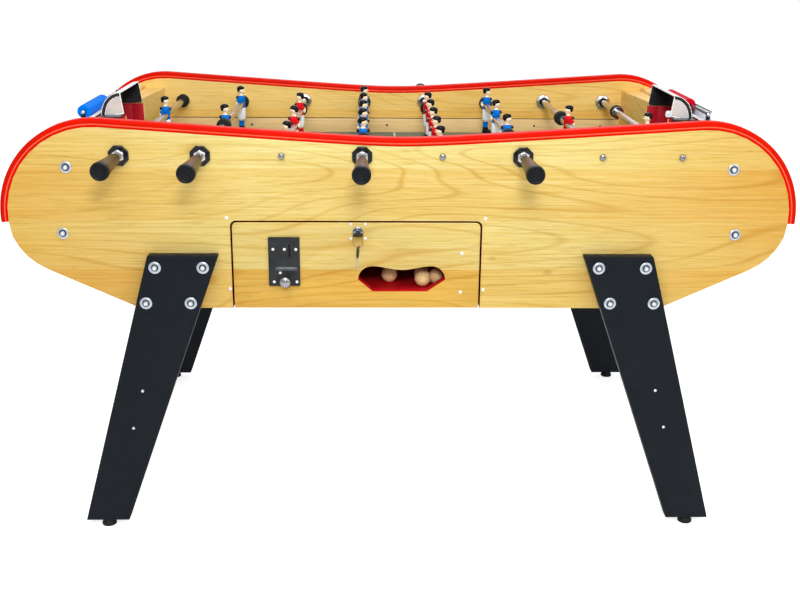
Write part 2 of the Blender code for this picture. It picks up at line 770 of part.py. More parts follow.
def build_rods():
    bearing = bearing_mesh()
    bar = bar_mesh()
    handle = handle_mesh()
    man = man_mesh()
    for rod in RODS:
        name, team, x = rod[0], rod[1], rod[2]
        look = BLUE if team == "blue" else RED
        turn = Matrix.Identity(4) if team == "blue" else half_turn()
        axis = empty(name + "_axis", TABLE, (x, 0.0, ROD_HEIGHT))
        place(name + "_bearing", moved(bearing, turn), CHROME, axis, smooth=40)
        place(name + "_inner_bar", moved(bar, turn), STEEL, axis, smooth=40)
        men = men_places(rod)
        near_ring = men[0] - rod[7]
        far_ring = far_ring_place(rod)
        tube_end = far_ring + BUMPER_LENGTH / 2
        handle_end = -PANEL_OUT - handle_out(rod)
        tube_start = handle_end + HANDLE_WALL
        tube = place(name + "_rod", moved(rod_mesh(TUBE_RADIUS, tube_start, tube_end, ROUND_STEPS), turn),
                     look, axis, smooth=40)
        figures = [moved(man, Matrix.Translation((0.0, y, 0.0))) for y in men]
        rings = [rod_mesh(BUMPER_RADIUS, y - BUMPER_LENGTH / 2, y + BUMPER_LENGTH / 2, ROUND_STEPS)
                 for y in (near_ring, far_ring)]
        for ring in rings:
            tool(tube, moved(ring, turn), "UNION")
        tool(tube, moved(joined(figures), turn), "UNION")
        bore = rod_mesh(TUBE_BORE, tube_start - 0.01, tube_end + 0.01, 8)
        tool(tube, moved(bore, turn), "DIFFERENCE")
        sign = 1.0 if team == "blue" else -1.0
        place(name + "_handle", moved(handle, turn), BROWN, axis, (0.0, sign * handle_end, 0.0), smooth=40)


def leg_outline():
    """Splayed plate leg for the right side, with its outer top corner rounded."""
    corner = Vector((LEG_TOP_OUTER, LEG_TOP))
    down = (Vector((LEG_FOOT_OUTER, LEG_BOTTOM)) - corner).normalized()
    points = [(LEG_FOOT_INNER, LEG_BOTTOM), (LEG_FOOT_OUTER, LEG_BOTTOM)]
    for i in range(5):
        t = i / 4
        start = corner + down * LEG_ROUNDING
        stop = corner + Vector((-LEG_ROUNDING, 0.0))
        points.append(tuple(start * (1 - t) ** 2 + corner * 2 * t * (1 - t) + stop * t * t))
    points.append((LEG_TOP_INNER, LEG_TOP))
    return points


def foot_mesh():
    """Levelling foot with its threaded stem, standing on zero."""
    profile = (
        (0.0, LEG_BOTTOM + FOOT_STEM_LENGTH),
        (FOOT_STEM_RADIUS, LEG_BOTTOM + FOOT_STEM_LENGTH),
        (FOOT_STEM_RADIUS, LEG_BOTTOM - GAP),
        (FOOT_RADIUS * 0.75, LEG_BOTTOM - GAP),
        (FOOT_RADIUS, LEG_BOTTOM * 0.5),
        (FOOT_RADIUS, 0.0),
        (0.0, 0.0),
    )
    return turned("foot", profile, ROUND_STEPS)


def build_legs():
    foot = foot_mesh()
    middle = (LEG_FOOT_INNER + LEG_FOOT_OUTER) / 2
    stem_hole = (FOOT_STEM_RADIUS + GAP) / math.cos(math.pi / ROUND_STEPS)
    hole = turned("stem_hole", (
        (0.0, LEG_BOTTOM + FOOT_STEM_LENGTH + GAP),
        (stem_hole, LEG_BOTTOM + FOOT_STEM_LENGTH + GAP),
        (stem_hole, LEG_BOTTOM - 0.01),
        (0.0, LEG_BOTTOM - 0.01),
    ), ROUND_STEPS)
    for side_name, side in (("front", -1.0), ("rear", 1.0)):
        for hand, sign in (("left", -1.0), ("right", 1.0)):
            name = side_name + "_" + hand + "_leg"
            near = side * (PANEL_OUT + GAP)
            low, high = sorted((near, near + side * LEG_THICKNESS))
            shape = plate(name, leg_outline(), low, high)
            if sign < 0:
                shape = moved(shape, Matrix.Diagonal((-1.0, 1.0, 1.0, 1.0)))
            leg = place(name, shape, BLACK, TABLE)
            centre = (sign * middle, (low + high) / 2, 0.0)
            tool(leg, moved(hole, Matrix.Translation(centre)), "DIFFERENCE")
            place(name.replace("leg", "foot"), foot, BLACK, TABLE, centre, smooth=40)


def ball_hole():
    """Dog-bone opening for the balls, dipped along its upper edge."""
    left, right, low, high = BALL_HOLE_LEFT, BALL_HOLE_RIGHT, BALL_HOLE_BOTTOM, BALL_HOLE_TOP
    chamfer = (high - low) * 0.3
    points = [(left + chamfer, low), (right - chamfer, low), (right, low + chamfer)]
    reach = (high - low - chamfer) / 2
    for i in range(1, 6):
        angle = -math.pi / 2 + math.pi * 0.9 * i / 5 + math.pi * 0.1
        points.append((right - reach + reach * math.cos(angle), high - reach + reach * math.sin(angle)))
    points.append(((right + left) / 2 + 0.03, high - BALL_HOLE_DIP))
    points.append(((right + left) / 2 - 0.03, high - BALL_HOLE_DIP))
    for i in range(0, 5):
        angle = math.pi / 2 + math.pi * 0.9 * i / 5
        points.append((left + reach + reach * math.cos(angle), high - reach + reach * math.sin(angle)))
    points.append((left, low + chamfer))
    return points


def build_door():
    """Bottom-hinged door with its coin plate, push knob, lock and key."""
    face = -PANEL_OUT + DOOR_INSET
    back = -PANEL_IN
    hinge = empty("door_hinge", TABLE, (0.0, face, PANEL_BOTTOM))
    here = Matrix.Translation((0.0, -face, -PANEL_BOTTOM))
    door = place("door", moved(plate("door", door_outline(0.0), face, back), here), WOOD, hinge)
    lock_hole = rod_mesh((LOCK_BODY_RADIUS + GAP) / math.cos(math.pi / 12), face - 0.01, back + 0.01, 12)
    knob_bore = (KNOB_STEM_RADIUS + RUN_GAP) / math.cos(math.pi / 12)
    knob_hole = rod_mesh(knob_bore, face - 0.02, back + 0.01, 12)
    knob_hole = moved(knob_hole, Matrix.Translation((KNOB_X, 0.0, KNOB_Z)))
    cuts = [plate("ball_hole", ball_hole(), face - 0.01, back + 0.01),
            moved(lock_hole, Matrix.Translation((LOCK_X, 0.0, LOCK_Z))),
            knob_hole]
    tool(door, moved(joined(cuts), here), "DIFFERENCE")
    coin_back = face - GAP
    coin_face = coin_back - COIN_THICKNESS
    coin = box_mesh((COIN_LEFT, coin_face, COIN_BOTTOM), (COIN_RIGHT, coin_back, COIN_TOP))
    plate_item = place("coin_plate", moved(coin, here), CHARCOAL, hinge)
    slot = box_mesh((COIN_SLOT_X - 0.0015, coin_face - 0.01, COIN_SLOT_Z - 0.014),
                    (COIN_SLOT_X + 0.0015, coin_back + 0.01, COIN_SLOT_Z + 0.014))
    rounded(plate_item, 0.0012, 2)
    tool(plate_item, moved(joined((slot, knob_hole)), here), "DIFFERENCE")
    knob_profile = (
        (0.0, KNOB_OUT),
        (KNOB_RADIUS * 0.8, KNOB_OUT),
        (KNOB_RADIUS, KNOB_OUT - 0.003),
        (KNOB_RADIUS, KNOB_OUT - 0.009),
        (KNOB_STEM_RADIUS, KNOB_OUT - 0.009),
        (KNOB_STEM_RADIUS, -KNOB_STEM_LENGTH),
        (0.0, -KNOB_STEM_LENGTH),
    )
    knob = along_y(turned("coin_knob", knob_profile, 12), -1.0)
    place("coin_knob", knob, CHROME, hinge, (KNOB_X, coin_face - face, KNOB_Z - PANEL_BOTTOM), smooth=40)
    lock_profile = (
        (KEYWAY_RADIUS, LOCK_OUT),
        (LOCK_RADIUS * 0.9, LOCK_OUT),
        (LOCK_RADIUS, LOCK_OUT * 0.7),
        (LOCK_RADIUS, GAP),
        (LOCK_BODY_RADIUS, GAP),
        (LOCK_BODY_RADIUS, face - back - 0.004),
        (0.0, face - back - 0.004),
        (0.0, -KEY_DEPTH),
        (KEYWAY_RADIUS, -KEY_DEPTH),
    )
    lock = along_y(turned("door_lock", lock_profile, 12, closed=True), -1.0)
    place("door_lock", lock, CHROME, hinge, (LOCK_X, 0.0, LOCK_Z - PANEL_BOTTOM), smooth=40)
    build_key(hinge)


def build_key(hinge):
    """Key in the lock: a blade and a round bow in one flat piece."""
    half = KEY_THICKNESS / 2
    blade = box_mesh((-KEY_BLADE / 2, -KEY_BOW_OUT, -half), (KEY_BLADE / 2, KEY_DEPTH - GAP, half))
    key = place("door_key", blade, BLACK, hinge, (LOCK_X, 0.0, LOCK_Z - PANEL_BOTTOM))
    bow = moved(rod_mesh(KEY_BOW_RADIUS, -half, half, 14), Matrix.Rotation(math.pi / 2, 4, "X"))
    tool(key, moved(bow, Matrix.Translation((0.0, -KEY_BOW_OUT, 0.0))), "UNION")


def build_trough():
    """Ball return trough from the rear panel to the back of the door."""
    left, right = BALL_HOLE_LEFT - TROUGH_WALL, BALL_HOLE_RIGHT + TROUGH_WALL
    front, rear = -PANEL_IN + RUN_GAP, INSIDE
    body = box_mesh((left, front, TROUGH_BOTTOM), (right, rear, TROUGH_TOP))
    trough = place("ball_trough", body, MAROON, TABLE)
    inside = box_mesh((BALL_HOLE_LEFT, front - 0.01, BALL_HOLE_BOTTOM - 0.002),
                      (BALL_HOLE_RIGHT, rear - TROUGH_WALL, TROUGH_TOP + 0.01))
    tool(trough, inside, "DIFFERENCE")


build_panels()
build_field()
build_ends()
build_beads()
build_rods()
build_legs()
build_door()
build_trough()
bpy.context.view_layer.update()
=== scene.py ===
"""Looks of the coin-operated table football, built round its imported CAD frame."""
from math import acos, atan, copysign, cos, hypot, pi, radians, sin, sqrt

import bmesh
import bpy
from mathutils import Matrix, Vector


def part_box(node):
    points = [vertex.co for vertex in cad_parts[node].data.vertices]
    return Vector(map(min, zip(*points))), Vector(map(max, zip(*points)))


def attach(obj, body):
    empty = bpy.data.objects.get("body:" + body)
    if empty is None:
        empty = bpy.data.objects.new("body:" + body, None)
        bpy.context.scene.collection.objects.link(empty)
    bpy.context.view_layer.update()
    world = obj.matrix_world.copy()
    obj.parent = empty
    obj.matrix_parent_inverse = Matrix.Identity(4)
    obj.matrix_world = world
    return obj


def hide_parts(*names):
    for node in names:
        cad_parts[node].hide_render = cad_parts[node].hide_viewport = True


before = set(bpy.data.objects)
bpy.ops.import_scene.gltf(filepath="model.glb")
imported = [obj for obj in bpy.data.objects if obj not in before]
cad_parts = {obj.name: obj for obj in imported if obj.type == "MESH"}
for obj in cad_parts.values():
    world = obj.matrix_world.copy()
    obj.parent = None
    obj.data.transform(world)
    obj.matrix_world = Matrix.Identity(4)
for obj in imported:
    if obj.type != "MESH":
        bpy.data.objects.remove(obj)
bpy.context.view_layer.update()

# Cabinet sizes in metres
GAP = 0.0003
PANEL_OUT = 0.415
PANEL_IN = 0.387
OUTSIDE = PANEL_OUT + GAP
INSIDE = PANEL_IN - GAP
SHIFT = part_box("front_side_panel")[0].y + PANEL_OUT
ROD_HEIGHT = 0.812
PANEL_BOTTOM = ROD_HEIGHT - 0.318
DIP_HEIGHT = ROD_HEIGHT + 0.02
TOP_SLOPE = 0.0675
DIP_ROUNDING = 0.08
END_RADIUS = 0.18
END_CENTRE_X = 0.611
JOIN_TILT = atan(TOP_SLOPE)
JOIN_X = END_CENTRE_X - END_RADIUS * sin(JOIN_TILT)
BOTTOM_FLAT_HALF = 0.541
LOWER_CORNER_ANGLE = radians(-30)
LOWER_CORNER_ROUNDING = 0.052
LOWER_ARC_START = LOWER_CORNER_ANGLE + LOWER_CORNER_ROUNDING / END_RADIUS
UPPER_ARC_STOP = pi / 2 + JOIN_TILT
BOARD_JOINT = 0.577
BOARD_WIDTH = 0.105

# Red edging along the top of the panels
TRIM_START = LOWER_ARC_START + (UPPER_ARC_STOP - LOWER_ARC_START) / 11
TRIM_THICKNESS = 0.0162
TRIM_HALF = 0.014
TRIM_ROUNDING = 0.0055
# Heights of a paler strip on each side face of the edging, a painted highlight
HIGHLIGHT_HEIGHTS = (0.0042, 0.0068)

# Field, goals and ends
FIELD_TOP = ROD_HEIGHT - 0.085
FIELD_HALF = 0.383
LINE_HALF = 0.002
CENTRE_RING = 0.1
CENTRE_SPOT = 0.007
BOX_LINES = ((0.44, 0.21), (0.54, 0.135))
BOX_BOW = 0.075
SKIRTING_HALF = 0.609
SKIRTING_TOP = FIELD_TOP + 0.037
END_WALL_X = 0.64
END_WALL_TOP = ROD_HEIGHT + 0.03
GOAL_HALF = 0.1
GOAL_DEPTH = 0.05
GOAL_FRONT_X = 0.612
HOOD_X = 0.6215
HOOD_FOOT_X = 0.615
HOOD_BASE = END_WALL_TOP + GAP
HOOD_TOP = END_WALL_TOP + 0.052
HOOD_DEPTH = 0.0445
HOOD_SHEET = 0.0025
COVER_RADIUS = END_RADIUS - 0.007
COVER_SHEET = 0.004
COVER_START_X = 0.672
CORNER_BOARD_X = 0.6635
CORNER_BOARD_Y = 0.128
RAIL_X = 0.7
RAIL_RADIUS = 0.003
RAIL_LENGTH = 0.345
RAIL_PLACES = {"blue": -0.05, "red": 0.065}
BEAD_COUNT = 10
BEAD_LENGTH = 0.018
BEAD_RADIUS = 0.0148
BEAD_BORE = 0.0036
BEAD_PLACES = {"blue": -0.029, "red": 0.133}

# Rods and what they carry
ROD_PITCH = 0.1605
TUBE_RADIUS = 0.008
TUBE_BORE = 0.0062
BAR_RADIUS = 0.0052
BAR_END = PANEL_IN - 0.45
BUMPER_RADIUS = 0.0165
BUMPER_LENGTH = 0.024
COLLAR_FACE = INSIDE - 0.008
MAN_REACH = 0.0165 + BUMPER_LENGTH / 2
HANDLE_LENGTH = 0.126
GRIP_RADIUS = 0.0162
NECK_RADIUS = 0.0105
CAP_RADIUS = 0.018
CAP_LENGTH = 0.013
HANDLE_WALL = 0.02

# Spacing of the men and reach of the handle by number of men, as shares of the inside half width
CREWS = {1: (0, 0.7183), 2: (0.8553, 0.8618), 3: (0.5853, 0.6951), 5: (0.3411, 0.6615)}
# Name of each rod, place in rod pitches, number of men, and push room at rest
RODS = (
    ("blue_goal", -3.5, 1, 0.0012),
    ("blue_two", -2.5, 2, 0.0222),
    ("red_three", -1.5, 3, 0.0787),
    ("blue_five", -0.5, 5, 0.0087),
    ("red_five", 0.5, 5, 0.0282),
    ("blue_three", 1.5, 3, 0.0257),
    ("red_two", 2.5, 2, 0.0032),
    ("red_goal", 3.5, 1, 0.0012),
)
# Near and far bumpers that stand away from the outermost men
KEEPER_BUMPERS = (PANEL_IN * 0.8114, PANEL_IN * 0.6537)
BUMPERS = {
    "blue_goal": KEEPER_BUMPERS,
    "red_goal": KEEPER_BUMPERS,
    "red_two": (PANEL_IN * 0.2636, MAN_REACH),
}

# Legs, door and coin fittings
LEG_FACE = OUTSIDE + 0.025
LEG_TOP = PANEL_BOTTOM + 0.118
LEG_BOTTOM = 0.014
LEG_CORNERS = ((0.589, LEG_BOTTOM), (0.6815, LEG_BOTTOM), (0.514, LEG_TOP), (0.372, LEG_TOP))
FOOT_RADIUS = 0.0155
DOOR_LEFT = -0.346
DOOR_RIGHT = 0.162
DOOR_TOP = PANEL_BOTTOM + 0.184
DOOR_FACE = -PANEL_OUT + 0.001
DOOR_GROOVE = 0.0022
BALL_HOLE = (-0.089, 0.093, PANEL_BOTTOM + 0.036, PANEL_BOTTOM + 0.09)
HOLE_CUTS = (0.03, 0.037, 0.0255)
HOLE_DIP = 0.008
COIN_LEFT = -0.272
COIN_RIGHT = -0.208
COIN_BOTTOM = PANEL_BOTTOM + 0.049
COIN_TOP = PANEL_BOTTOM + 0.152
COIN_BACK = DOOR_FACE - GAP
COIN_FACE = COIN_BACK - 0.005
SLOT_X = -0.229
SLOT_Z = PANEL_BOTTOM + 0.124
SLOT_HALF = (0.0015, 0.014)
KNOB_X = -0.238
KNOB_Z = PANEL_BOTTOM + 0.061
KNOB_BORE = 0.0047
LOCK_X = -0.089
LOCK_Z = PANEL_BOTTOM + 0.163
LOCK_BORE = 0.0083
KEY_HALF = 0.0012
KEY_TEETH = 7
TROUGH_RIM = PANEL_BOTTOM + 0.1062
BALL_RADIUS = 0.017
BALLS = ((-0.0238, -0.3403), (0.0462, -0.3695), (0.0464, -0.3348), (0.0757, -0.3522))

# Places of bolts and screws in X and Z
PANEL_BOLTS = ((0.6676, 0.788), (0.6843, 0.653))
LEG_BOLTS = ((0.4995, 0.588), (0.4028, 0.588), (0.5215, 0.5125), (0.4305, 0.5125))
LEG_SCREWS = ((0.541, 0.318), (0.5656, 0.233))
PANEL_SCREWS = ((-0.3542, 0.6858), (-0.3526, 0.535), (0.1698, 0.6853), (0.1697, 0.534))
DOOR_SCREWS = ((0.124, 0.6119), (0.1226, 0.5285))
COIN_SCREWS = ((-0.2624, 0.621), (-0.2391, 0.621), (-0.2157, 0.621), (-0.2612, 0.5518), (-0.2146, 0.5518),
               (-0.2485, 0.5711))
LOCK_SCREW_REACH = (0.0147, 0.015)
PLUG_PLACES = (-0.5605, -0.3835, -0.0194, 0.38, 0.56)
PLUG_HEIGHT = 0.746

# Camera, and lamps by name, place, aim, size and power
CAMERA_PLACE = (-0.06336, -2.5939, 1.21983)
CAMERA_PITCH = 0.31732
CAMERA_YAW = 0.02831
CAMERA_ROLL = 0.00967
CAMERA_LENS = 49.197
LAMPS = (
    ("key", (-0.9, -2.6, 3.4), (0, -0.2, 0.6), 2.4, 27),
    ("fill", (2.6, -2.4, 2.4), (0, 0, 0.7), 2, 26),
    ("front", (0.05, -2.75, 1.88), (0, -0.4, 0.65), 0.45, 25),
    ("field", (0, -1, 2.4), (0, 0.387, 0.8), 1.6, 23),
    ("back", (0.4, 2.8, 3.2), (0, 0, 0.7), 2.4, 38),
)
FLOOR_GLOW = 0.68
SKY_LIGHT = 0.4

# Turns and sides that many pieces share
ALONG_Y = Matrix.Rotation(-pi / 2, 4, "X")
HALF_TURN = Matrix.Rotation(pi, 4, "Z")
ENDS = (("blue", HALF_TURN), ("red", Matrix()))
SIDES = (("front", -1), ("rear", 1))
BOTH = (-1, 1)


# Node materials whose textures follow the object's own coordinates
class Nodes:
    def __init__(self, owner):
        owner.use_nodes = True
        self.tree = owner.node_tree

    def fill(self, item, sockets):
        """Give each input its value or the output that feeds it."""
        for key, value in sockets.items():
            socket = item.inputs[key]
            if isinstance(value, bpy.types.NodeSocket):
                self.tree.links.new(value, socket)
            else:
                socket.default_value = (*value, 1) if socket.type == "RGBA" else value

    def node(self, kind, sockets, **settings):
        item = self.tree.nodes.new("ShaderNode" + kind)
        for key, value in settings.items():
            setattr(item, key, value)
        self.fill(item, sockets)
        return item

    def maths(self, operation, value, number=0):
        return self.node("Math", {0: value, 1: number}, operation=operation).outputs[0]

    def spread(self, value, start, stop, low, high):
        sockets = {"Value": value, "From Min": start, "From Max": stop, "To Min": low, "To Max": high}
        return self.node("MapRange", sockets).outputs["Result"]

    def seen_rays(self):
        """One where the camera, a mirror or a clear piece looks, and zero for the light itself."""
        path = self.node("LightPath", {}).outputs
        seen = self.maths("MAXIMUM", path["Is Camera Ray"], path["Is Glossy Ray"])
        return self.maths("MAXIMUM", seen, path["Is Transmission Ray"])


class Paint(Nodes):
    def __init__(self, name, colour, roughness, metallic=0):
        self.material = bpy.data.materials.new(name)
        super().__init__(self.material)
        self.shader = self.tree.nodes["Principled BSDF"]
        self.fill(self.shader, {"Base Color": colour, "Roughness": roughness, "Metallic": metallic})
        self.material.diffuse_color = (*colour, 1)
        self.place = self.node("TexCoord", {}).outputs["Object"]

    def stretched(self, scale, shift):
        sockets = {"Scale": scale, "Location": shift, "Vector": self.place}
        return self.node("Mapping", sockets).outputs["Vector"]

    def noise(self, place, scale, detail, roughness, warp=0):
        sockets = {"Vector": place, "Scale": scale, "Detail": detail, "Roughness": roughness}
        sockets["Distortion"] = warp
        return self.node("TexNoise", sockets).outputs["Fac"]

    def ramp(self, value, stops):
        item = self.node("ValToRGB", {"Fac": value})
        marks = item.color_ramp.elements
        while len(marks) < len(stops):
            marks.new(0.5)
        for mark, (position, colour) in zip(marks, stops):
            mark.position = position
            mark.color = (*colour, 1)
        return item.outputs["Color"]

    def mix(self, factor, first, second, mode="MIX"):
        sockets = {"Factor": factor, 6: first, 7: second}
        return self.node("Mix", sockets, data_type="RGBA", blend_type=mode).outputs[2]

    def done(self, colour, roughness, height, depth, strength, gloss):
        """Feed the shader, with the depth of the relief in microns."""
        relief = self.node("Bump", {"Height": height, "Distance": depth / 1e6, "Strength": strength})
        self.fill(self.shader, {"Base Color": colour, "Roughness": roughness,
                                "Normal": relief.outputs["Normal"], "Specular IOR Level": gloss})
        return self.material


def shaded(colour, factor):
    return tuple(min(1, part * factor) for part in colour)


def worn(name, colour, roughness, metallic, scale, change, grain, depth, gloss=0.15):
    """A painted or plated surface with mottled colour, uneven polish and fine grain."""
    paint = Paint(name, colour, roughness, metallic)
    broad = paint.noise(paint.place, scale, 4, 0.6)
    tone = paint.ramp(broad, ((0.3, shaded(colour, 1 - change)), (0.7, shaded(colour, 1 + change))))
    polish = paint.noise(paint.place, scale * 2.3, 5, 0.7)
    sheen = paint.spread(polish, 0.3, 0.7, roughness * 0.75, min(1, roughness * 1.3))
    return paint.done(tone, sheen, paint.noise(paint.place, grain, 3, 0.6), depth, 0.5, gloss)


def grained(name, tones, along, shift, fine=1, roughness=0.42, boards=True, gloss=0.12, chance=0.3,
            stain=0.62, ends=0):
    """Planed wood with fibres, pores and rings, in boards of different tone with small knots."""
    dark, middle, light = tones
    deep = shaded(dark, 1.08)
    paint = Paint(name, middle, roughness)

    def run(length, across):
        scale = [across * fine] * 3
        scale[along] = length * fine
        return paint.stretched(scale, shift)

    fibres = paint.noise(run(2.6, 140), 1.6, 6, 0.78, 0.15)
    pores = paint.noise(run(11, 260), 1.3, 3, 0.65)
    hills = paint.noise(run(0.5, 4.2), 1, 1.5, 0.45, 0.25)
    rings = paint.maths("PINGPONG", paint.maths("MULTIPLY", hills, 90), 1)
    zones = paint.noise(run(0.55, 3.4), 1.3, 3, 0.55, 0.4)
    tone = paint.ramp(fibres, ((0.24, deep), (0.46, middle), (0.65, light)))
    soft = paint.ramp(zones, ((0.36, deep), (0.47, middle), (0.62, light)))
    colour = paint.mix(0.3, tone, soft)
    held = paint.spread(zones, 0.36, 0.54, 0.8, 0.12)
    line = paint.spread(rings, 0, 0.26, 0.8, 0)
    colour = paint.mix(paint.maths("MULTIPLY", line, held), colour, shaded(dark, 0.95))
    if boards:
        spot = paint.node("SeparateXYZ", {0: paint.place}).outputs
        above = paint.maths("SUBTRACT", spot["Z"], BOARD_JOINT)
        row = paint.maths("FLOOR", paint.maths("MULTIPLY", above, 1 / BOARD_WIDTH))
        turn = paint.maths("FRACT", paint.maths("ADD", paint.maths("MULTIPLY", row, 0.37), chance))
        tint = tuple(1.17 * low / mean for low, mean in zip(dark, middle))
        colour = paint.mix(paint.spread(turn, 0.15, 1, 0.12, stain), colour, tint, "MULTIPLY")
        reach = paint.maths("ABSOLUTE", spot["X"])
        colour = paint.mix(paint.spread(reach, 0.3, 0.8, 0, ends), colour, tint, "MULTIPLY")
    streak = paint.spread(pores, 0.54, 0.66, 0, 0.42)
    colour = paint.mix(streak, colour, shaded(dark, 0.86))
    if boards:
        knots = paint.node("TexVoronoi", {"Scale": 3.1, "Vector": run(1, 1.9)}, feature="F1")
        near = paint.spread(knots.outputs["Distance"], 0.012, 0.055, 0.85, 0)
        colour = paint.mix(near, colour, shaded(dark, 0.45))
    sheen = paint.spread(fibres, 0.3, 0.7, roughness * 1.15, roughness * 0.85)
    return paint.done(colour, sheen, fibres, 150, 0.35, gloss)


def cork_paint():
    middle = (0.95, 0.7, 0.33)
    paint = Paint("cork", middle, 0.75)
    grains = paint.noise(paint.place, 240, 5, 0.7)
    tone = paint.ramp(grains, ((0.3, (0.56, 0.36, 0.11)), (0.48, middle), (0.75, (1, 0.84, 0.48))))
    return paint.done(tone, 0.75, grains, 600, 0.6, 0.5)


PALE_OAK = ((0.555, 0.33, 0.054), (0.69, 0.59, 0.212), (0.78, 0.73, 0.385))
OAK_TONES = ((0.66, 0.355, 0.06), (0.8, 0.565, 0.18), (0.88, 0.68, 0.28))
SKIRTING_TONES = ((0.62, 0.4, 0.16), (0.76, 0.54, 0.26), (0.84, 0.63, 0.34))
BROWN_TONES = ((0.009, 0.003, 0.0015), (0.03, 0.01, 0.005), (0.066, 0.025, 0.013))
OAK = {
    "front": grained("oak_front", PALE_OAK, 0, (0.3, 0.1, 0.2), ends=0.75),
    "door": grained("oak_door", PALE_OAK, 0, (0.3, 0.1, 0.2), stain=1),
    "rear": grained("oak_rear", OAK_TONES, 0, (5.3, 2.1, 1.2), chance=0.62),
    "ends": grained("oak_ends", OAK_TONES, 1, (2.7, 7.7, 5.1)),
    "skirting": grained("oak_pale", SKIRTING_TONES, 0, (3.7, 1.7, 6.1)),
}
BROWN_WOOD = grained("dark_wood", BROWN_TONES, 1, (1, 2, 3), 3, 0.34, False, 0.22)
CORK = cork_paint()

# Plain finishes: colour, roughness, metal, mottle scale and change, grain scale, depth in microns, gloss
RED_EDGE = worn("red_plastic", (0.62, 0.007, 0.001), 0.36, 0, 12, 0.06, 300, 40, 0.03)
# Paler red of that strip along the edging: a painted highlight
RED_PAINTED_HIGHLIGHT = worn("red_painted_highlight", (0.92, 0.1, 0.052), 0.3, 0, 12, 0.1, 300, 40, 0.1)
BLACK_PAINT = worn("black_paint", (0.0062, 0.0088, 0.0128), 0.46, 0, 30, 0.16, 900, 60, 0.1)
# Black gloss plastic, also the dark ring round each bolt head, which is painted shade
BLACK_GLOSS_AND_SHADE = worn("black_gloss_and_shade", (0.006, 0.006, 0.007), 0.14, 0, 30, 0.15, 500, 20, 0.3)
HOOD_BLACK = worn("hood_black", (0.022, 0.023, 0.024), 0.3, 0, 22, 0.45, 500, 20, 0.25)
# Grey steel of the key ring, also the lighter grey of the coin lip, which is a painted highlight
STEEL_AND_LIP_HIGHLIGHT = worn("steel_and_lip_highlight", (0.085, 0.09, 0.095), 0.4, 0.3, 90, 0.15, 900, 40)
BLACK_PLASTIC = worn("black_plastic", (0.006, 0.007, 0.009), 0.34, 0, 60, 0.15, 900, 50, 0.13)
RUBBER = worn("black_rubber", (0.012, 0.012, 0.013), 0.6, 0, 90, 0.18, 1200, 80, 0.12)
CHROME = worn("chrome", (0.62, 0.62, 0.64), 0.1, 1, 50, 0.04, 700, 10)
TUBE_STEEL = worn("tube_steel", (0.46, 0.45, 0.44), 0.2, 1, 60, 0.08, 700, 10)
STEEL = worn("brushed_steel", (0.55, 0.56, 0.58), 0.28, 1, 70, 0.05, 900, 20)
POLISHED = worn("polished_steel", (0.82, 0.82, 0.87), 0.22, 0.55, 12, 0.06, 600, 5)
ZINC = worn("zinc_plate", (0.4, 0.44, 0.49), 0.34, 1, 120, 0.12, 1100, 40)
# Chrome with a dark base colour: painted shade standing in for dark reflections on the knob, lock barrel and
# bolt heads
SHADED_CHROME = worn("chrome_painted_shade", (0.26, 0.26, 0.28), 0.08, 1, 60, 0.05, 700, 10)
# White screws, also the white top of each bolt head, which is a painted highlight
NICKEL_AND_HIGHLIGHT = worn("white_screw_and_highlight", (0.74, 0.74, 0.74), 0.35, 0.3, 200, 0.06, 1500, 30)
FIELD = worn("field_board", (0.13, 0.168, 0.122), 0.5, 0, 18, 0.08, 700, 80)
LINES = worn("field_line", (0.8, 0.8, 0.78), 0.5, 0, 60, 0.06, 700, 50)
WHITE_SHEET = worn("white_sheet", (0.86, 0.86, 0.86), 0.34, 0, 9, 0.03, 300, 50)
# Light grey of the hood tab, also of the upright plate under the red rail, where the grey is painted shade
# on white
GREY_SHEET_AND_SHADE = worn("grey_sheet_and_painted_shade", (0.72, 0.75, 0.82), 0.4, 0, 9, 0.05, 500, 30)
CRIMSON = worn("crimson_paint", (0.54, 0.006, 0.012), 0.44, 0, 25, 0.12, 600, 60, 0.06)
MAROON = worn("maroon_paint", (0.42, 0.006, 0.016), 0.44, 0, 25, 0.12, 600, 60)
# Very dark red of the door groove: partly the red paint of its edges, partly painted shade in the narrow gap
GROOVE_RED_AND_SHADE = worn("groove_paint_and_shade", (0.15, 0.008, 0.006), 0.7, 0, 25, 0.12, 600, 60, 0)
CHARCOAL = worn("charcoal_coat", (0.024, 0.026, 0.028), 0.46, 0.1, 45, 0.34, 1400, 120)
SKIN = worn("skin_paint", (1, 0.78, 0.53), 0.38, 0, 150, 0.05, 1500, 30)
HAIR = worn("hair_paint", (0.004, 0.004, 0.005), 0.22, 0, 250, 0.25, 1500, 80, 0.12)
# White paint of the men's kit, also the white rims along the hood cheeks, which are painted highlights
WHITE_PAINT_AND_HIGHLIGHT = worn("white_paint_and_highlight", (0.94, 0.94, 0.96), 0.32, 0, 150, 0.05, 1500, 30)
LIP = worn("lip_paint", (0.45, 0.12, 0.09), 0.4, 0, 150, 0.05, 1500, 30)
SHIRT = {
    "blue": worn("blue_shirt", (0, 0.155, 0.58), 0.34, 0, 150, 0.12, 1500, 30, 0.04),
    "red": worn("red_shirt", (0.68, 0.006, 0.01), 0.34, 0, 150, 0.12, 1500, 30, 0.04),
}
BEADS = {
    "blue": worn("blue_bead", (0, 0.165, 0.74), 0.45, 0, 60, 0.08, 900, 40, 0.02),
    "red": worn("red_bead", (0.54, 0.002, 0.014), 0.45, 0, 60, 0.08, 900, 40, 0.02),
}


# Places and lines
def at(x=0, y=0, z=0):
    return Matrix.Translation((x, y, z))


def facing_y(x, y, z, sign=-1):
    """Stand a shape turned about Z on a panel face, its top towards -Y or +Y."""
    return at(x, y, z) @ Matrix.Rotation(-sign * pi / 2, 4, "X")


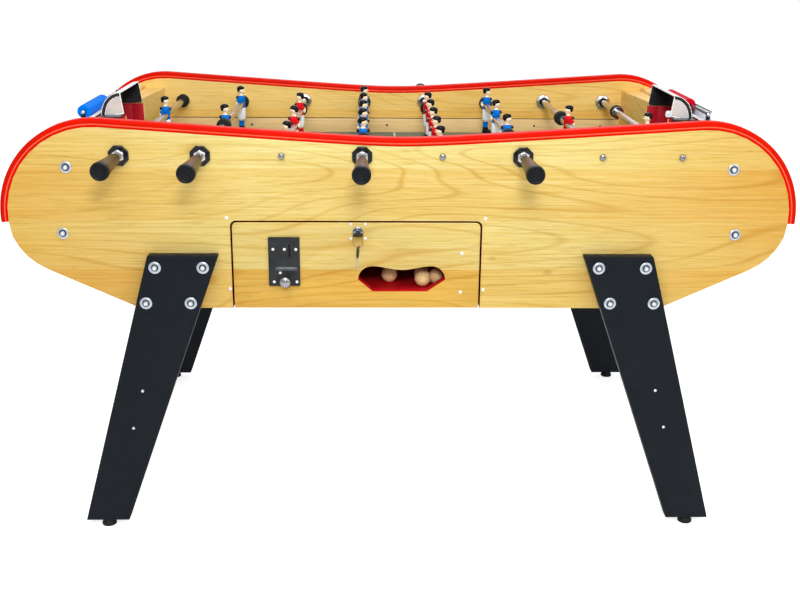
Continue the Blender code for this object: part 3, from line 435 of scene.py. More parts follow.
def mm(*rows):
    """Rows of millimetres as metres."""
    return [tuple(number / 1000 for number in row) for row in rows]


def from_face(face, way, *rows):
    """Radius and height pairs in millimetres, the heights counted from a face."""
    return [(radius, face + way * height) for radius, height in mm(*rows)]


def arc(x, z, wide, tall, start, stop, steps):
    """Points of an ellipse from one angle to another."""
    turns = [start + (stop - start) * i / steps for i in range(steps + 1)]
    return [(x + wide * cos(turn), z + tall * sin(turn)) for turn in turns]


def circle(x, z, radius, steps=32, start=0):
    return arc(x, z, radius, radius, start, start + 2 * pi, steps)[:-1]


def bend(start, corner, stop, steps):
    """Points of a curve between two places that leans towards a corner."""
    shares = [k / steps for k in range(steps + 1)]
    return [tuple(start * (1 - t) ** 2 + corner * 2 * t * (1 - t) + stop * t * t) for t in shares]


def softened(points, reach, steps=3, looped=True):
    """A line of points with its corners rounded."""
    line = [Vector(point) for point in points]
    result = []
    for i, corner in enumerate(line):
        if not looped and i in (0, len(line) - 1):
            result.append(tuple(corner))
            continue
        before = line[i - 1] - corner
        after = line[(i + 1) % len(line)] - corner
        start = corner + before.normalized() * min(reach, before.length * 0.45)
        stop = corner + after.normalized() * min(reach, after.length * 0.45)
        result += bend(start, corner, stop, steps)
    return result


def rounded_box(left, right, low, high, reach, steps=2):
    return softened(((left, low), (right, low), (right, high), (left, high)), reach, steps)


# Mesh helpers
def finished(net, angle=35):
    bmesh.ops.recalc_face_normals(net, faces=net.faces)
    mesh = bpy.data.meshes.new("shape")
    net.to_mesh(mesh)
    net.free()
    mesh.shade_smooth()
    mesh.set_sharp_from_angle(angle=radians(angle))
    return mesh


def linked(name, data):
    item = bpy.data.objects.new(name, data)
    bpy.context.scene.collection.objects.link(item)
    return item


def baked(item, *helpers):
    """The final mesh of a work object, which goes away with its helpers."""
    bpy.context.view_layer.update()
    mesh = bpy.data.meshes.new_from_object(item.evaluated_get(bpy.context.evaluated_depsgraph_get()))
    for spent in (item, *helpers):
        bpy.data.objects.remove(spent, do_unlink=True)
    return mesh


def skinned(net, rings, slot=0, closed_ends=True, looped=False):
    """Faces between rings of places, with a ring of one place closing to a tip."""
    rings = [[net.verts.new(spot) for spot in ring] for ring in rings]
    made = []
    pairs = list(zip(rings, rings[1:]))
    if looped:
        pairs.append((rings[-1], rings[0]))
    for low, high in pairs:
        count = max(len(low), len(high))
        for i in range(count):
            j = (i + 1) % count
            corners = [low[i % len(low)], low[j % len(low)], high[j % len(high)], high[i % len(high)]]
            distinct = [corner for k, corner in enumerate(corners) if corner not in corners[:k]]
            if len(distinct) > 2:
                made.append(net.faces.new(distinct))
    if closed_ends and not looped:
        for ring in (rings[0], rings[-1]):
            if len(ring) > 2:
                made.append(net.faces.new(ring))
    for face in made:
        face.material_index = slot
    return made


def slab(net, outline, low, high, slot=0, place=Matrix()):
    """An outline in X and Z carried along Y from one place to another."""
    rings = [[place @ Vector((x, y, z)) for x, z in outline] for y in (low, high)]
    return skinned(net, rings, slot)


def lathe(net, profile, steps, slot=0, place=Matrix(), looped=False):
    """A profile of radius and height pairs turned about Z, then placed."""
    rings = []
    for radius, height in profile:
        ring = circle(0, 0, radius, steps, pi / steps) if radius > 1e-6 else [(0, 0)]
        rings.append([place @ Vector((x, y, height)) for x, y in ring])
    return skinned(net, rings, slot, False, looped)


def turned(*parts):
    """Profiles turned about Y, each with its sides and slot, a hollow one closed on itself."""
    net = bmesh.new()
    for profile, steps, slot in parts:
        lathe(net, profile, steps, slot, ALONG_Y, profile[0][0] > 0)
    return finished(net)


def board(outline, holes, low, high, edge):
    """A flat outline in X and Z with holes, thickened along Y, with eased edges."""
    curve = bpy.data.curves.new("board", "CURVE")
    curve.dimensions = "2D"
    curve.fill_mode = "BOTH"
    curve.extrude = (high - low) / 2 - edge
    curve.bevel_depth = edge
    curve.bevel_resolution = 1
    curve.offset = -edge
    for points in [outline, *holes]:
        line = curve.splines.new("POLY")
        line.points.add(len(points) - 1)
        for point, (x, z) in zip(line.points, points):
            point.co = (x, z, 0, 1)
        line.use_cyclic_u = True
    net = bmesh.new()
    net.from_mesh(baked(linked("board", curve)))
    net.transform(facing_y(0, (low + high) / 2, 0))
    bmesh.ops.remove_doubles(net, verts=net.verts, dist=0.00001)
    return finished(net, 25)


def painted(verts, slot):
    for face in {face for vert in verts for face in vert.link_faces}:
        face.material_index = slot


def block(net, corner, other, edge=0.0006, slot=0):
    """A box between two corners, with eased edges."""
    low, high = (Vector(ends) for ends in zip(*(sorted(pair) for pair in zip(corner, other))))
    place = at(*(high + low) / 2) @ Matrix.Diagonal((*(high - low), 1))
    verts = bmesh.ops.create_cube(net, size=1, matrix=place)["verts"]
    painted(verts, slot)
    edges = list({side for vert in verts for side in vert.link_edges})
    bmesh.ops.bevel(net, geom=edges, offset=edge, segments=2, affect="EDGES", profile=0.5, material=slot)


def egg(net, middle, radii, slot, tilt=0, steps=16):
    """An egg shape, its middle and half sizes in millimetres."""
    middle, radii = mm(middle, radii)
    place = at(*middle) @ Matrix.Rotation(tilt, 4, "Y") @ Matrix.Diagonal((*radii, 1))
    rows = steps * 3 // 4
    made = bmesh.ops.create_uvsphere(net, u_segments=steps, v_segments=rows, radius=1, matrix=place)
    painted(made["verts"], slot)


def loft(net, sections, slot, power=2.3, sides=20):
    """A skin through level sections in millimetres: height, middle, half depth and half width."""
    rings = []
    for height, x, y, deep, wide in mm(*sections):
        ring = []
        for spot in circle(0, 0, 1, sides):
            across, along = (copysign(abs(part) ** (2 / power), part) for part in spot)
            ring.append((x + deep * across, y + wide * along, height))
        rings.append(ring)
    skinned(net, rings, slot)


def tube(net, points, radius, slot, sides, looped=False):
    """A round bar along a line of points."""
    line = [Vector(point) for point in points]
    rings = []
    for i, point in enumerate(line):
        before = line[i - 1] if i or looped else point
        after = line[(i + 1) % len(line)] if i + 1 < len(line) or looped else point
        way = (after - before).normalized()
        side = way.cross(Vector((0, 1, 0)))
        if side.length < 0.1:
            side = way.cross(Vector((1, 0, 0)))
        side.normalize()
        up = side.cross(way)
        rings.append([point + side * a + up * b for a, b in circle(0, 0, radius, sides)])
    skinned(net, rings, slot, True, looped)


def bored(mesh, radius):
    """A closed shape with a round hole through it along Y."""
    item = linked("work", mesh)
    drill = linked("work", turned(([(0, -0.05), (radius, -0.05), (radius, 0.05), (0, 0.05)], 32, 0)))
    cut = item.modifiers.new("bore", "BOOLEAN")
    cut.operation = "DIFFERENCE"
    cut.solver = "EXACT"
    cut.object = drill
    return baked(item, drill)


def piece(name, shape, paints, body, nodes=(), place=None):
    """A visible piece that rides on a body in place of the CAD nodes it names."""
    mesh = finished(shape) if isinstance(shape, bmesh.types.BMesh) else shape
    item = linked(name, mesh)
    item.matrix_world = place or at(y=SHIFT)
    if not mesh.materials:
        mesh.name = name
        for paint in paints:
            mesh.materials.append(paint)
    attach(item, body)
    if nodes:
        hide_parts(*nodes)


def kept(node, paint):
    """A CAD solid that stays, in a better finish."""
    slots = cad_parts[node].data.materials
    if not len(slots):
        slots.append(paint)
    for i in range(len(slots)):
        slots[i] = paint


# Outline of the cabinet seen from the front
def top_height(x):
    return DIP_HEIGHT + TOP_SLOPE * (hypot(x, DIP_ROUNDING) - DIP_ROUNDING)


END_CENTRE_Z = top_height(JOIN_X) - END_RADIUS * cos(JOIN_TILT)


def cover_height(x):
    return END_CENTRE_Z + sqrt(COVER_RADIUS ** 2 - (x - END_CENTRE_X) ** 2)


RAIL_HEIGHT = cover_height(RAIL_X) + 0.017


def end_arc(reach, start, stop, steps):
    return arc(END_CENTRE_X, END_CENTRE_Z, reach, reach, start, stop, steps)


def edge_line():
    """Points of the panel's upper edge with the way out of the panel, from right to left."""
    ways = arc(0, 0, 1, 1, TRIM_START, UPPER_ARC_STOP, 60)
    points = [(*spot, *way) for spot, way in zip(end_arc(END_RADIUS, TRIM_START, UPPER_ARC_STOP, 60), ways)]
    left = [(-x, z, -out, up) for x, z, out, up in reversed(points)]
    for i in range(1, 80):
        x = JOIN_X * (1 - i / 40)
        tilt = atan(TOP_SLOPE * x / hypot(x, DIP_ROUNDING))
        points.append((x, top_height(x), -sin(tilt), cos(tilt)))
    return points + left


def build_trim():
    lip = 0.0008
    reach = TRIM_ROUNDING
    half = [(0.0001 - TRIM_HALF, -lip), (-TRIM_HALF, 0)] + [(-TRIM_HALF, height) for height in HIGHLIGHT_HEIGHTS]
    half += arc(reach - TRIM_HALF, TRIM_THICKNESS - reach, reach, reach, pi, pi / 2, 8)
    section = half + [(-across, high) for across, high in reversed(half)]
    # Faces of the painted highlight strip on both sides of the section
    highlight_rows = (2, len(section) - 4)
    for side, way in SIDES:
        net = bmesh.new()
        middle = way * (PANEL_OUT - TRIM_HALF)
        rings = []
        for x, z, out, up in edge_line():
            rings.append([(x + out * high, middle + across, z + up * high) for across, high in section])
        for count, face in enumerate(skinned(net, rings)):
            if count % len(section) in highlight_rows and len(face.verts) == 4:
                face.material_index = 1
        mesh = finished(net, 50)
        piece(side + "_edging", mesh, [RED_EDGE, RED_PAINTED_HIGHLIGHT], "cabinet", [side + "_edge_trim"])


def men_places(name, count, room):
    """Places along a rod of its men, near bumper, far bumper and outer end."""
    spacing, reach = (PANEL_IN * share for share in CREWS[count])
    near, far = BUMPERS.get(name, (MAN_REACH, MAN_REACH))
    far_ring = COLLAR_FACE - room - BUMPER_LENGTH / 2
    middle = far_ring - far - spacing * (count - 1) / 2
    men = [middle + spacing * (i - (count - 1) / 2) for i in range(count)]
    return men, men[0] - near, far_ring, middle - PANEL_OUT - reach


def man_mesh():
    """A cast figure facing +X, measured from the rod's axis: skin, hair, shirt, white, black, lip."""
    net = bmesh.new()
    for side in BOTH:
        y = side * 4.6
        loft(net, ((-73, 3, y, 11.2, 4.3), (-72.2, 3, y, 12, 4.6), (-68.5, 2.8, y, 11.7, 4.6),
                   (-65, 1, y, 9.2, 4.5), (-61, -1.2, y, 6.8, 4.3), (-57, -1.4, y, 6.2, 4.3)), 4)
        loft(net, ((-58.5, -1.4, y, 5.8, 4.1), (-52, -1.4, y, 6.4, 4.4), (-44.5, -1, y, 6, 4.3),
                   (-43.8, -1, y, 6.4, 4.6), (-42.5, -1, y, 6.4, 4.6)), 2)
        loft(net, ((-44, -0.8, y, 5.6, 4.2), (-40, -0.4, y, 6, 4.4), (-33, 0, y, 6.6, 4.6)), 0)
        loft(net, ((-38.8, 0, side * 5.8, 9.2, 6.4), (-37.8, 0, side * 5.8, 9.8, 6.8),
                   (-24, 0, side * 5.4, 10, 6.8), (-12, 0, side * 4.8, 9.6, 6.6),
                   (-7.5, 0, side * 4.2, 9, 6)), 3)
        egg(net, (0, side * 12.2, 12.8), (6.8, 4.6, 7), 2)
        egg(net, (-7.8, side * 12.8, 8.5), (4.8, 3.6, 4.2), 2, 0.6)
        egg(net, (-11.2, side * 11.8, 2), (3, 2.8, 6.2), 0, 0.15)
    trunk = bmesh.new()
    loft(trunk, ((-11, 0, 0, 9.4, 11.2), (-10, 0, 0, 10.1, 11.8), (-2, 0, 0, 9.8, 12.2), (6, 0.4, 0, 10, 13),
                 (13, 0.4, 0, 9.8, 13.6), (17.6, 0, 0, 8.4, 11.8), (20.4, 0, 0, 6.6, 8),
                 (21.6, 0, 0, 5.6, 6.2)), 2)
    net.from_mesh(bored(finished(trunk), TUBE_RADIUS - 0.0003))
    loft(net, ((20.5, 0, 0, 6, 6.6), (22.2, 0, 0, 5.8, 6.2)), 3, 2)
    loft(net, ((19, 0, 0, 4.7, 5), (28, 0.6, 0, 4.6, 4.8)), 0, 2)
    body_count = len(net.verts)
    for side in BOTH:
        egg(net, (0, side * 7.1, 32.5), (1.7, 1.2, 2.4), 0, 0, 8)
        egg(net, (7.6, side * 2.7, 34.3), (0.9, 0.9, 1), 4, 0, 8)
        egg(net, (7.8, side * 2.8, 36.4), (0.6, 1.4, 0.4), 1, 0, 8)
    egg(net, (0.4, 0, 33.8), (8.4, 7.1, 9.6), 0)
    egg(net, (2.2, 0, 28.2), (5.2, 4.8, 4.4), 0)
    egg(net, (8.6, 0, 32.2), (1.7, 1.1, 1.8), 0, 0, 10)
    egg(net, (7, 0, 28), (1, 1.8, 0.5), 5, 0, 8)
    egg(net, (-1, 0, 38.5), (9.3, 7.8, 6.2), 1, -0.06, 20)
    egg(net, (-4.4, 0, 34.8), (5.4, 7.5, 6.2), 1, 0, 20)
    chin = Vector((0, 0, 0.0235))
    for vert in list(net.verts)[body_count:]:
        vert.co = chin + (vert.co - chin) * 1.06
    dome = mm((4.1, 7), (4.1, 11.6), (3.2, 13.2), (1.6, 14), (0, 14.1))
    for way in BOTH:
        lathe(net, dome, 16, 4, at(z=0.0155) @ Matrix.Rotation(way * pi / 2, 4, "Y"))
    return finished(net, 60)


def bumper_mesh():
    """A ribbed rubber bumper with a chrome band at its end, along Y."""
    half, reach, bore = BUMPER_LENGTH / 2, BUMPER_RADIUS, TUBE_RADIUS + 0.0001
    step, waist = half - 0.0045, reach - 0.002
    profile = [(bore, -half), (reach - 0.003, -half), (reach - 0.0008, 0.0008 - half), (reach, 0.003 - half)]
    for i in range(3):
        z = -half + 0.006 + i * 0.0035
        profile += [(reach, z), (reach - 0.0008, z + 0.0006), (reach, z + 0.0012)]
    profile += [(reach, half - 0.006), (waist, step), (bore, step)]
    band = [(bore, step), (waist - 0.0004, step), (waist, half - 0.004), (waist, half - 0.0006),
            (waist - 0.0006, half), (bore, half)]
    return turned((profile, 40, 0), (band, 40, 1))


def grip_mesh():
    """A turned wooden grip from its end cap to its neck, along +Y from the handle's outer end."""
    bore, length = TUBE_RADIUS + 0.0003, HANDLE_LENGTH
    profile = [(bore, CAP_LENGTH - 0.001), (GRIP_RADIUS * 0.97, CAP_LENGTH - 0.001)]
    for i in range(25):
        t = i / 24
        ease = t * t * (3 - 2 * t)
        profile.append((GRIP_RADIUS + (NECK_RADIUS * 1.14 - GRIP_RADIUS) * ease ** 1.1,
                        CAP_LENGTH + (length - CAP_LENGTH - 0.006) * t))
    profile += [(NECK_RADIUS * 1.08, length - 0.003), (NECK_RADIUS, length - 0.0008),
                (NECK_RADIUS - 0.0008, length), (bore, length)]
    return turned((profile, 40, 0))


def cap_mesh():
    """A moulded end cap with a raised rim and a plain sunk face."""
    sunk = mm((0, 1.8), (5.5, 1.8), (6, 1.4), (6.6, 1.4), (7.2, 2))
    rim = ((0.66, 0.002), (0.7, 0.001), (0.76, 0.0001), (0.86, 0), (0.94, 0.001), (0.985, 0.003),
           (1, 0.0055))
    back = ((1, 0.0035), (0.975, 0.0028), (0.975, 0.0022), (1, 0.0016), (0.99, 0.0002), (0.93, 0))
    profile = sunk + [(CAP_RADIUS * share, height) for share, height in rim]
    profile += [(CAP_RADIUS * share, CAP_LENGTH - height) for share, height in back]
    profile += [(GRIP_RADIUS * 0.5, CAP_LENGTH), (0, CAP_LENGTH)]
    return turned((profile, 48, 0))


def guide_mesh():
    """A bearing: black octagon outside, chrome nut and collar, chrome bush and black ring inside."""
    bore = TUBE_RADIUS * 1000 + 0.5
    wide = 20 / cos(pi / 8)
    depth = (INSIDE - OUTSIDE) * 1000
    outside = (
        (8, 0, (9, 0), (wide, 0), (wide, 4.2), (wide - 2, 6), (9, 6)),
        (6, 1, (bore, 5.8), (12.2, 5.8), (12.8, 6.6), (12.8, 10), (12, 10.8), (bore, 10.8)),
        (36, 1, (bore, 10), (10.8, 10), (10.8, 13.2), (10, 14), (bore, 14)),
        (36, 1, (bore, 0), (12.2, 0), (12.2, depth), (bore, depth)),
    )
    inside = (
        (48, 1, (bore, 0), (18.6, 0), (19, 0.6), (19, 4.6), (17.2, 7.2), (14, 9), (bore, 9.2)),
        (40, 0, (bore, 6.8), (11.6, 6.8), (11.6, 14.5), (10.6, 16), (bore, 16)),
    )
    parts = [(from_face(-OUTSIDE, -1, *rows), steps, slot) for steps, slot, *rows in outside]
    parts += [(from_face(-INSIDE, 1, *rows), steps, slot) for steps, slot, *rows in inside]
    return turned(*parts)


def bar_mesh():
    """Inner bar with its collar and domed socket bolt outside the far panel."""
    net = bmesh.new()
    dome = from_face(OUTSIDE, 1, (0, 4), (1.8, 4), (2.2, 5.8), (4.2, 5.6), (5.8, 4.4), (6.7, 2.2), (6.8, 0))
    collar = from_face(INSIDE, -1, (11.6, 0), (12, 0.6), (12, 7.4), (11.4, 8))
    profile = [*dome, (BAR_RADIUS, OUTSIDE), (BAR_RADIUS, INSIDE), *collar, (BAR_RADIUS, COLLAR_FACE),
               (BAR_RADIUS, BAR_END + 0.001), (BAR_RADIUS - 0.001, BAR_END), (0, BAR_END)]
    # The bolt head outside the panel takes the second slot, chrome darkened as painted shade
    for face in lathe(net, profile, 32, 0, ALONG_Y):
        if face.calc_center_median().y > OUTSIDE:
            face.material_index = 1
    return finished(net)


def tube_mesh(start, stop):
    ease = 0.0004
    profile = [(TUBE_BORE, start), (TUBE_RADIUS - ease, start), (TUBE_RADIUS, start + ease),
               (TUBE_RADIUS, stop - ease), (TUBE_RADIUS - ease, stop), (TUBE_BORE, stop)]
    return turned((profile, 32, 0))


def build_rods():
    bumper, grip, cap, guide, bar = bumper_mesh(), grip_mesh(), cap_mesh(), guide_mesh(), bar_mesh()
    figures = {"blue": man_mesh()}
    figures["red"] = figures["blue"].copy()
    for name, pitches, count, room in RODS:
        team = name.split("_")[0]
        turn = Matrix() if team == "blue" else HALF_TURN
        axis = at(pitches * ROD_PITCH, SHIFT, ROD_HEIGHT) @ turn
        men, near_ring, far_ring, outer = men_places(name, count, room)
        body, slot = name + "_rod", team + "_rod"
        shaft = tube_mesh(outer + HANDLE_WALL, far_ring + BUMPER_LENGTH / 2)
        piece(name + "_tube", shaft, [TUBE_STEEL], body, [body], axis)
        for label, y in (("near", near_ring), ("far", far_ring)):
            place = axis @ at(y=y)
            if name != "red_goal":
                place = place @ turn
            piece(name + "_" + label + "_bumper", bumper, [RUBBER, CHROME], body, (), place)
        paints = [SKIN, HAIR, SHIRT[team], WHITE_PAINT_AND_HIGHLIGHT, BLACK_GLOSS_AND_SHADE, LIP]
        for i, y in enumerate(men):
            piece(f"{name}_man_{i + 1}", figures[team], paints, body, (), axis @ at(y=y))
        end = axis @ at(y=outer)
        piece(name + "_grip", grip, [BROWN_WOOD], body, [name + "_handle"], end)
        piece(name + "_cap", cap, [BLACK_PLASTIC], body, (), end)
        piece(name + "_guide", guide, [BLACK_GLOSS_AND_SHADE, CHROME], "cabinet", [name + "_bearing"], axis)
        paints = [CHROME, SHADED_CHROME]
        piece(name + "_core_bar", bar, paints, name + "_bar", [name + "_inner_bar"], axis)


def build_legs():
    outline = softened(LEG_CORNERS, 0.0025)
    stem = LEG_BOTTOM + 0.034
    rim = FOOT_RADIUS - 0.0008
    net = bmesh.new()
    lathe(net, [(0, stem), (0.005, stem), (0.005, LEG_BOTTOM), (0.0105, LEG_BOTTOM - 0.0004),
                (0.0118, LEG_BOTTOM - 0.0014), (rim, 0.0062), (FOOT_RADIUS, 0.005), (FOOT_RADIUS, 0.0008),
                (rim, 0), (0, 0)], 32)
    foot = finished(net)
    middle = (LEG_CORNERS[0][0] + LEG_CORNERS[1][0]) / 2
    for side, way in SIDES:
        low, high = sorted((way * OUTSIDE, way * LEG_FACE))
        for hand, sign in (("left", -1), ("right", 1)):
            name = side + "_" + hand
            plate = board([(sign * x, z) for x, z in outline], [], low, high, 0.0012)
            piece(name + "_leg_plate", plate, [BLACK_PAINT], "cabinet", [name + "_leg"])
            place = at(sign * middle, (low + high) / 2 + SHIFT)
            piece(name + "_levelling_foot", foot, [RUBBER], name + "_foot", [name + "_foot"], place)


def door_outline(grow):
    left, right, top = DOOR_LEFT - grow, DOOR_RIGHT + grow, DOOR_TOP + grow
    low = PANEL_BOTTOM
    return softened(((left, low), (left, top), (right, top), (right, low)), 0.012, 6, False)


def ball_outline():
    """Ball opening with cut lower corners and a shallow dip along its top."""
    left, right, low, high = BALL_HOLE
    left_cut, right_cut, rise = HOLE_CUTS
    right -= 0.0025
    reach = high - low - rise
    points = [(left + left_cut, low), (right - right_cut, low), (right, low + rise)]
    points += arc(right - reach, high - reach, reach, reach, 0, pi / 2, 10)[1:]
    for i in range(1, 20):
        t = i / 20
        dip = 0.5 - 0.5 * cos(2 * pi * t)
        points.append((right - reach + (left - right + 2 * reach) * t, high - HOLE_DIP * dip))
    return points + arc(left + reach, high - reach, reach, reach, pi / 2, pi, 10)


def build_door():
    knob_hole = circle(KNOB_X, KNOB_Z, KNOB_BORE)
    holes = [ball_outline(), circle(LOCK_X, LOCK_Z, LOCK_BORE), knob_hole]
    leaf = board(door_outline(-0.0015), holes, DOOR_FACE, -PANEL_IN, 0.0007)
    left, right, _, high = BALL_HOLE
    near = 0.004
    # Sides of the leaf by the ball hole are crimson; its other sides take the groove colour, dark red with
    # painted shade
    for face in leaf.polygons:
        spot = face.center
        by_hole = left - near < spot.x < right + near and PANEL_BOTTOM + near <= spot.z < high + near
        if abs(face.normal.y) < 0.6:
            face.material_index = 1 if by_hole else 2
    piece("door_leaf", leaf, [OAK["door"], CRIMSON, GROOVE_RED_AND_SHADE], "door", ["door"])
    wide, tall = SLOT_HALF
    slot = rounded_box(SLOT_X - wide, SLOT_X + wide, SLOT_Z - tall, SLOT_Z + tall, 0.001)
    rim = rounded_box(COIN_LEFT, COIN_RIGHT, COIN_BOTTOM, COIN_TOP, 0.002)
    plate = board(rim, [slot, knob_hole], COIN_FACE, COIN_BACK, 0.0008)
    piece("coin_face", plate, [CHARCOAL], "door", ["coin_plate"])
    net = bmesh.new()
    wide, tall = wide + 0.0015, tall + 0.002
    block(net, (SLOT_X - wide, COIN_BACK - 0.0006, SLOT_Z - tall), (SLOT_X + wide, DOOR_FACE, SLOT_Z + tall),
          0.0002)
    piece("coin_slot_shade", net, [RUBBER], "door")
    # Dark strips inside the groove and behind the gap round the leaf: painted shade, with the red of the
    # groove's edges
    net = bmesh.new()
    back = 0.0003 - PANEL_IN
    strips = ((DOOR_GROOVE - 0.0001, DOOR_GROOVE - 0.0009, 0.0002 - PANEL_OUT, back),
              (DOOR_GROOVE + 0.008, -0.01, back, back + 0.003))
    for wide, narrow, front, rear in strips:
        rings = []
        for outer, inner in zip(door_outline(wide), door_outline(narrow)):
            corners = ((outer, front), (inner, front), (inner, rear), (outer, rear))
            rings.append([(x, y, z) for (x, z), y in corners])
        skinned(net, rings)
    piece("door_frame", net, [GROOVE_RED_AND_SHADE], "cabinet")
    build_coin_lip()
    net = bmesh.new()
    knob = mm((0, 20.8), (3.6, 20.5), (6.8, 19.6), (9.4, 18.1), (11, 16.3), (11.6, 14.5), (11.1, 12.6),
              (9.5, 10.9), (7.2, 9.8), (5, 9.3), (4.2, 9), (4.2, -22), (0, -22))
    lathe(net, knob, 40, 0, facing_y(KNOB_X, COIN_FACE, KNOB_Z))
    piece("coin_push_knob", net, [SHADED_CHROME], "coin_knob", ["coin_knob"])
    net = bmesh.new()
    barrel = mm((3.6, 3.4), (4.6, 4), (8.8, 4), (9.8, 3.2), (10.4, 2.6), (11, 2), (11, 0.3), (8, 0.3),
                (8, -22.5), (0, -22.5), (0, -15), (3.6, -15))
    lathe(net, barrel, 40, 0, facing_y(LOCK_X, DOOR_FACE, LOCK_Z))
    piece("lock_barrel", net, [SHADED_CHROME], "door", ["door_lock"])
    build_keys()


def build_coin_lip():
    """Folded lip across the coin plate above the knob, lighter grey than the plate as a painted highlight.
    """
    net = bmesh.new()
    section = ((0, 0.09), (0.35, 0.0885), (1, 0.0867), (1, 0.0847), (0.4, 0.0827), (0, 0.0815))
    rings = []
    for i in range(-4, 5):
        x = (COIN_LEFT + COIN_RIGHT) / 2 + 0.004 + i * 0.0054
        rise = 0.0022 * (1 - (i / 4.6) ** 4)
        rings.append([(x, COIN_FACE + 0.0002 - share * rise, PANEL_BOTTOM + z) for share, z in section])
    skinned(net, rings)
    piece("coin_lip", finished(net, 60), [STEEL_AND_LIP_HIGHLIGHT], "door")


def key_shape(net, bow, tip, spin=0):
    """A flat key with its bow at one place and a toothed blade to another, as two boards."""
    way = Vector(tip) - Vector(bow)
    turn = way.normalized().to_track_quat("Z", "Y").to_matrix().to_4x4()
    place = at(*bow) @ turn @ Matrix.Rotation(spin, 4, "Z")
    rim = mm((-9.8, -11), (9.8, -11), (11, 0), (8, 9), (3.4, 12.5), (-3.4, 12.5), (-8, 9), (-11, 0))
    slab(net, softened(rim, 0.004), -KEY_HALF, KEY_HALF, 0, place)
    length = way.length
    step = (length - 0.0175) / KEY_TEETH
    blade = [(-0.0027, 0.0115), (0.0027, 0.0115)]
    for i in range(KEY_TEETH):
        z = 0.0135 + step * i
        blade += [(0.0027, z), (0.0014 if i % 2 else 0.0019, z + step * 0.5)]
    blade += [(0.0022, length - 0.003), (0, length), (-0.0027, length - 0.0025)]
    slab(net, blade, -KEY_HALF * 0.7, KEY_HALF * 0.7, 1, place)


def build_keys():
    """Key in the lock, its ring and the spare key that hangs on it."""
    net = bmesh.new()
    key_shape(net, (LOCK_X, DOOR_FACE - 0.024, LOCK_Z), (LOCK_X, DOOR_FACE + 0.0145, LOCK_Z))
    wide, deep, tall = 0.01, 0.004, 0.0125
    front = arc(LOCK_X, LOCK_Z - tall, wide, tall, 0, 2 * pi, 40)[:-1]
    depths = arc(0, DOOR_FACE - 0.027, 0, deep, 0, 2 * pi, 40)
    tube(net, [(x, y, z) for (x, z), (_, y) in zip(front, depths)], 0.0005, 2, 8, True)
    low = LOCK_Z - 0.027
    spare = (LOCK_X, DOOR_FACE - 0.03, low - 0.0075)
    key_shape(net, spare, (LOCK_X - 0.001, DOOR_FACE - 0.029, low - 0.044), -0.6)
    mesh = finished(net, 30)
    piece("lock_key", mesh, [BLACK_PLASTIC, ZINC, STEEL_AND_LIP_HIGHLIGHT], "door_key", ["door_key"])


def goal_box(turn):
    """Painted lining of a goal, its side boards carried on to the front of the hood."""
    net = bmesh.new()
    skin, ease = 0.0006, 0.0002
    back = END_WALL_X + GOAL_DEPTH
    low, top = FIELD_TOP + GAP, END_WALL_TOP - 0.0002
    block(net, (END_WALL_X + 0.001, -GOAL_HALF, FIELD_TOP),
          (back - 0.041, GOAL_HALF, FIELD_TOP + skin), ease)
    block(net, (back - skin, -GOAL_HALF, FIELD_TOP), (back, GOAL_HALF, top), ease)
    for side in BOTH:
        inner, outer = side * (GOAL_HALF - skin), side * (GOAL_HALF + 0.0022)
        block(net, (END_WALL_X - 0.002, side * GOAL_HALF, low), (back, inner, top), ease)
        block(net, (GOAL_FRONT_X, inner, low), (END_WALL_X - 0.0008, outer, top), 0.0004)
        block(net, (GOAL_FRONT_X - 0.001, inner, low), (GOAL_FRONT_X + 0.0002, outer, top), 0.0003, 1)
    net.transform(turn)
    return finished(net)


def hood_arc(inset):
    return arc(HOOD_X, HOOD_BASE, HOOD_DEPTH - inset, HOOD_TOP - HOOD_BASE - inset, 0, pi / 2, 24)


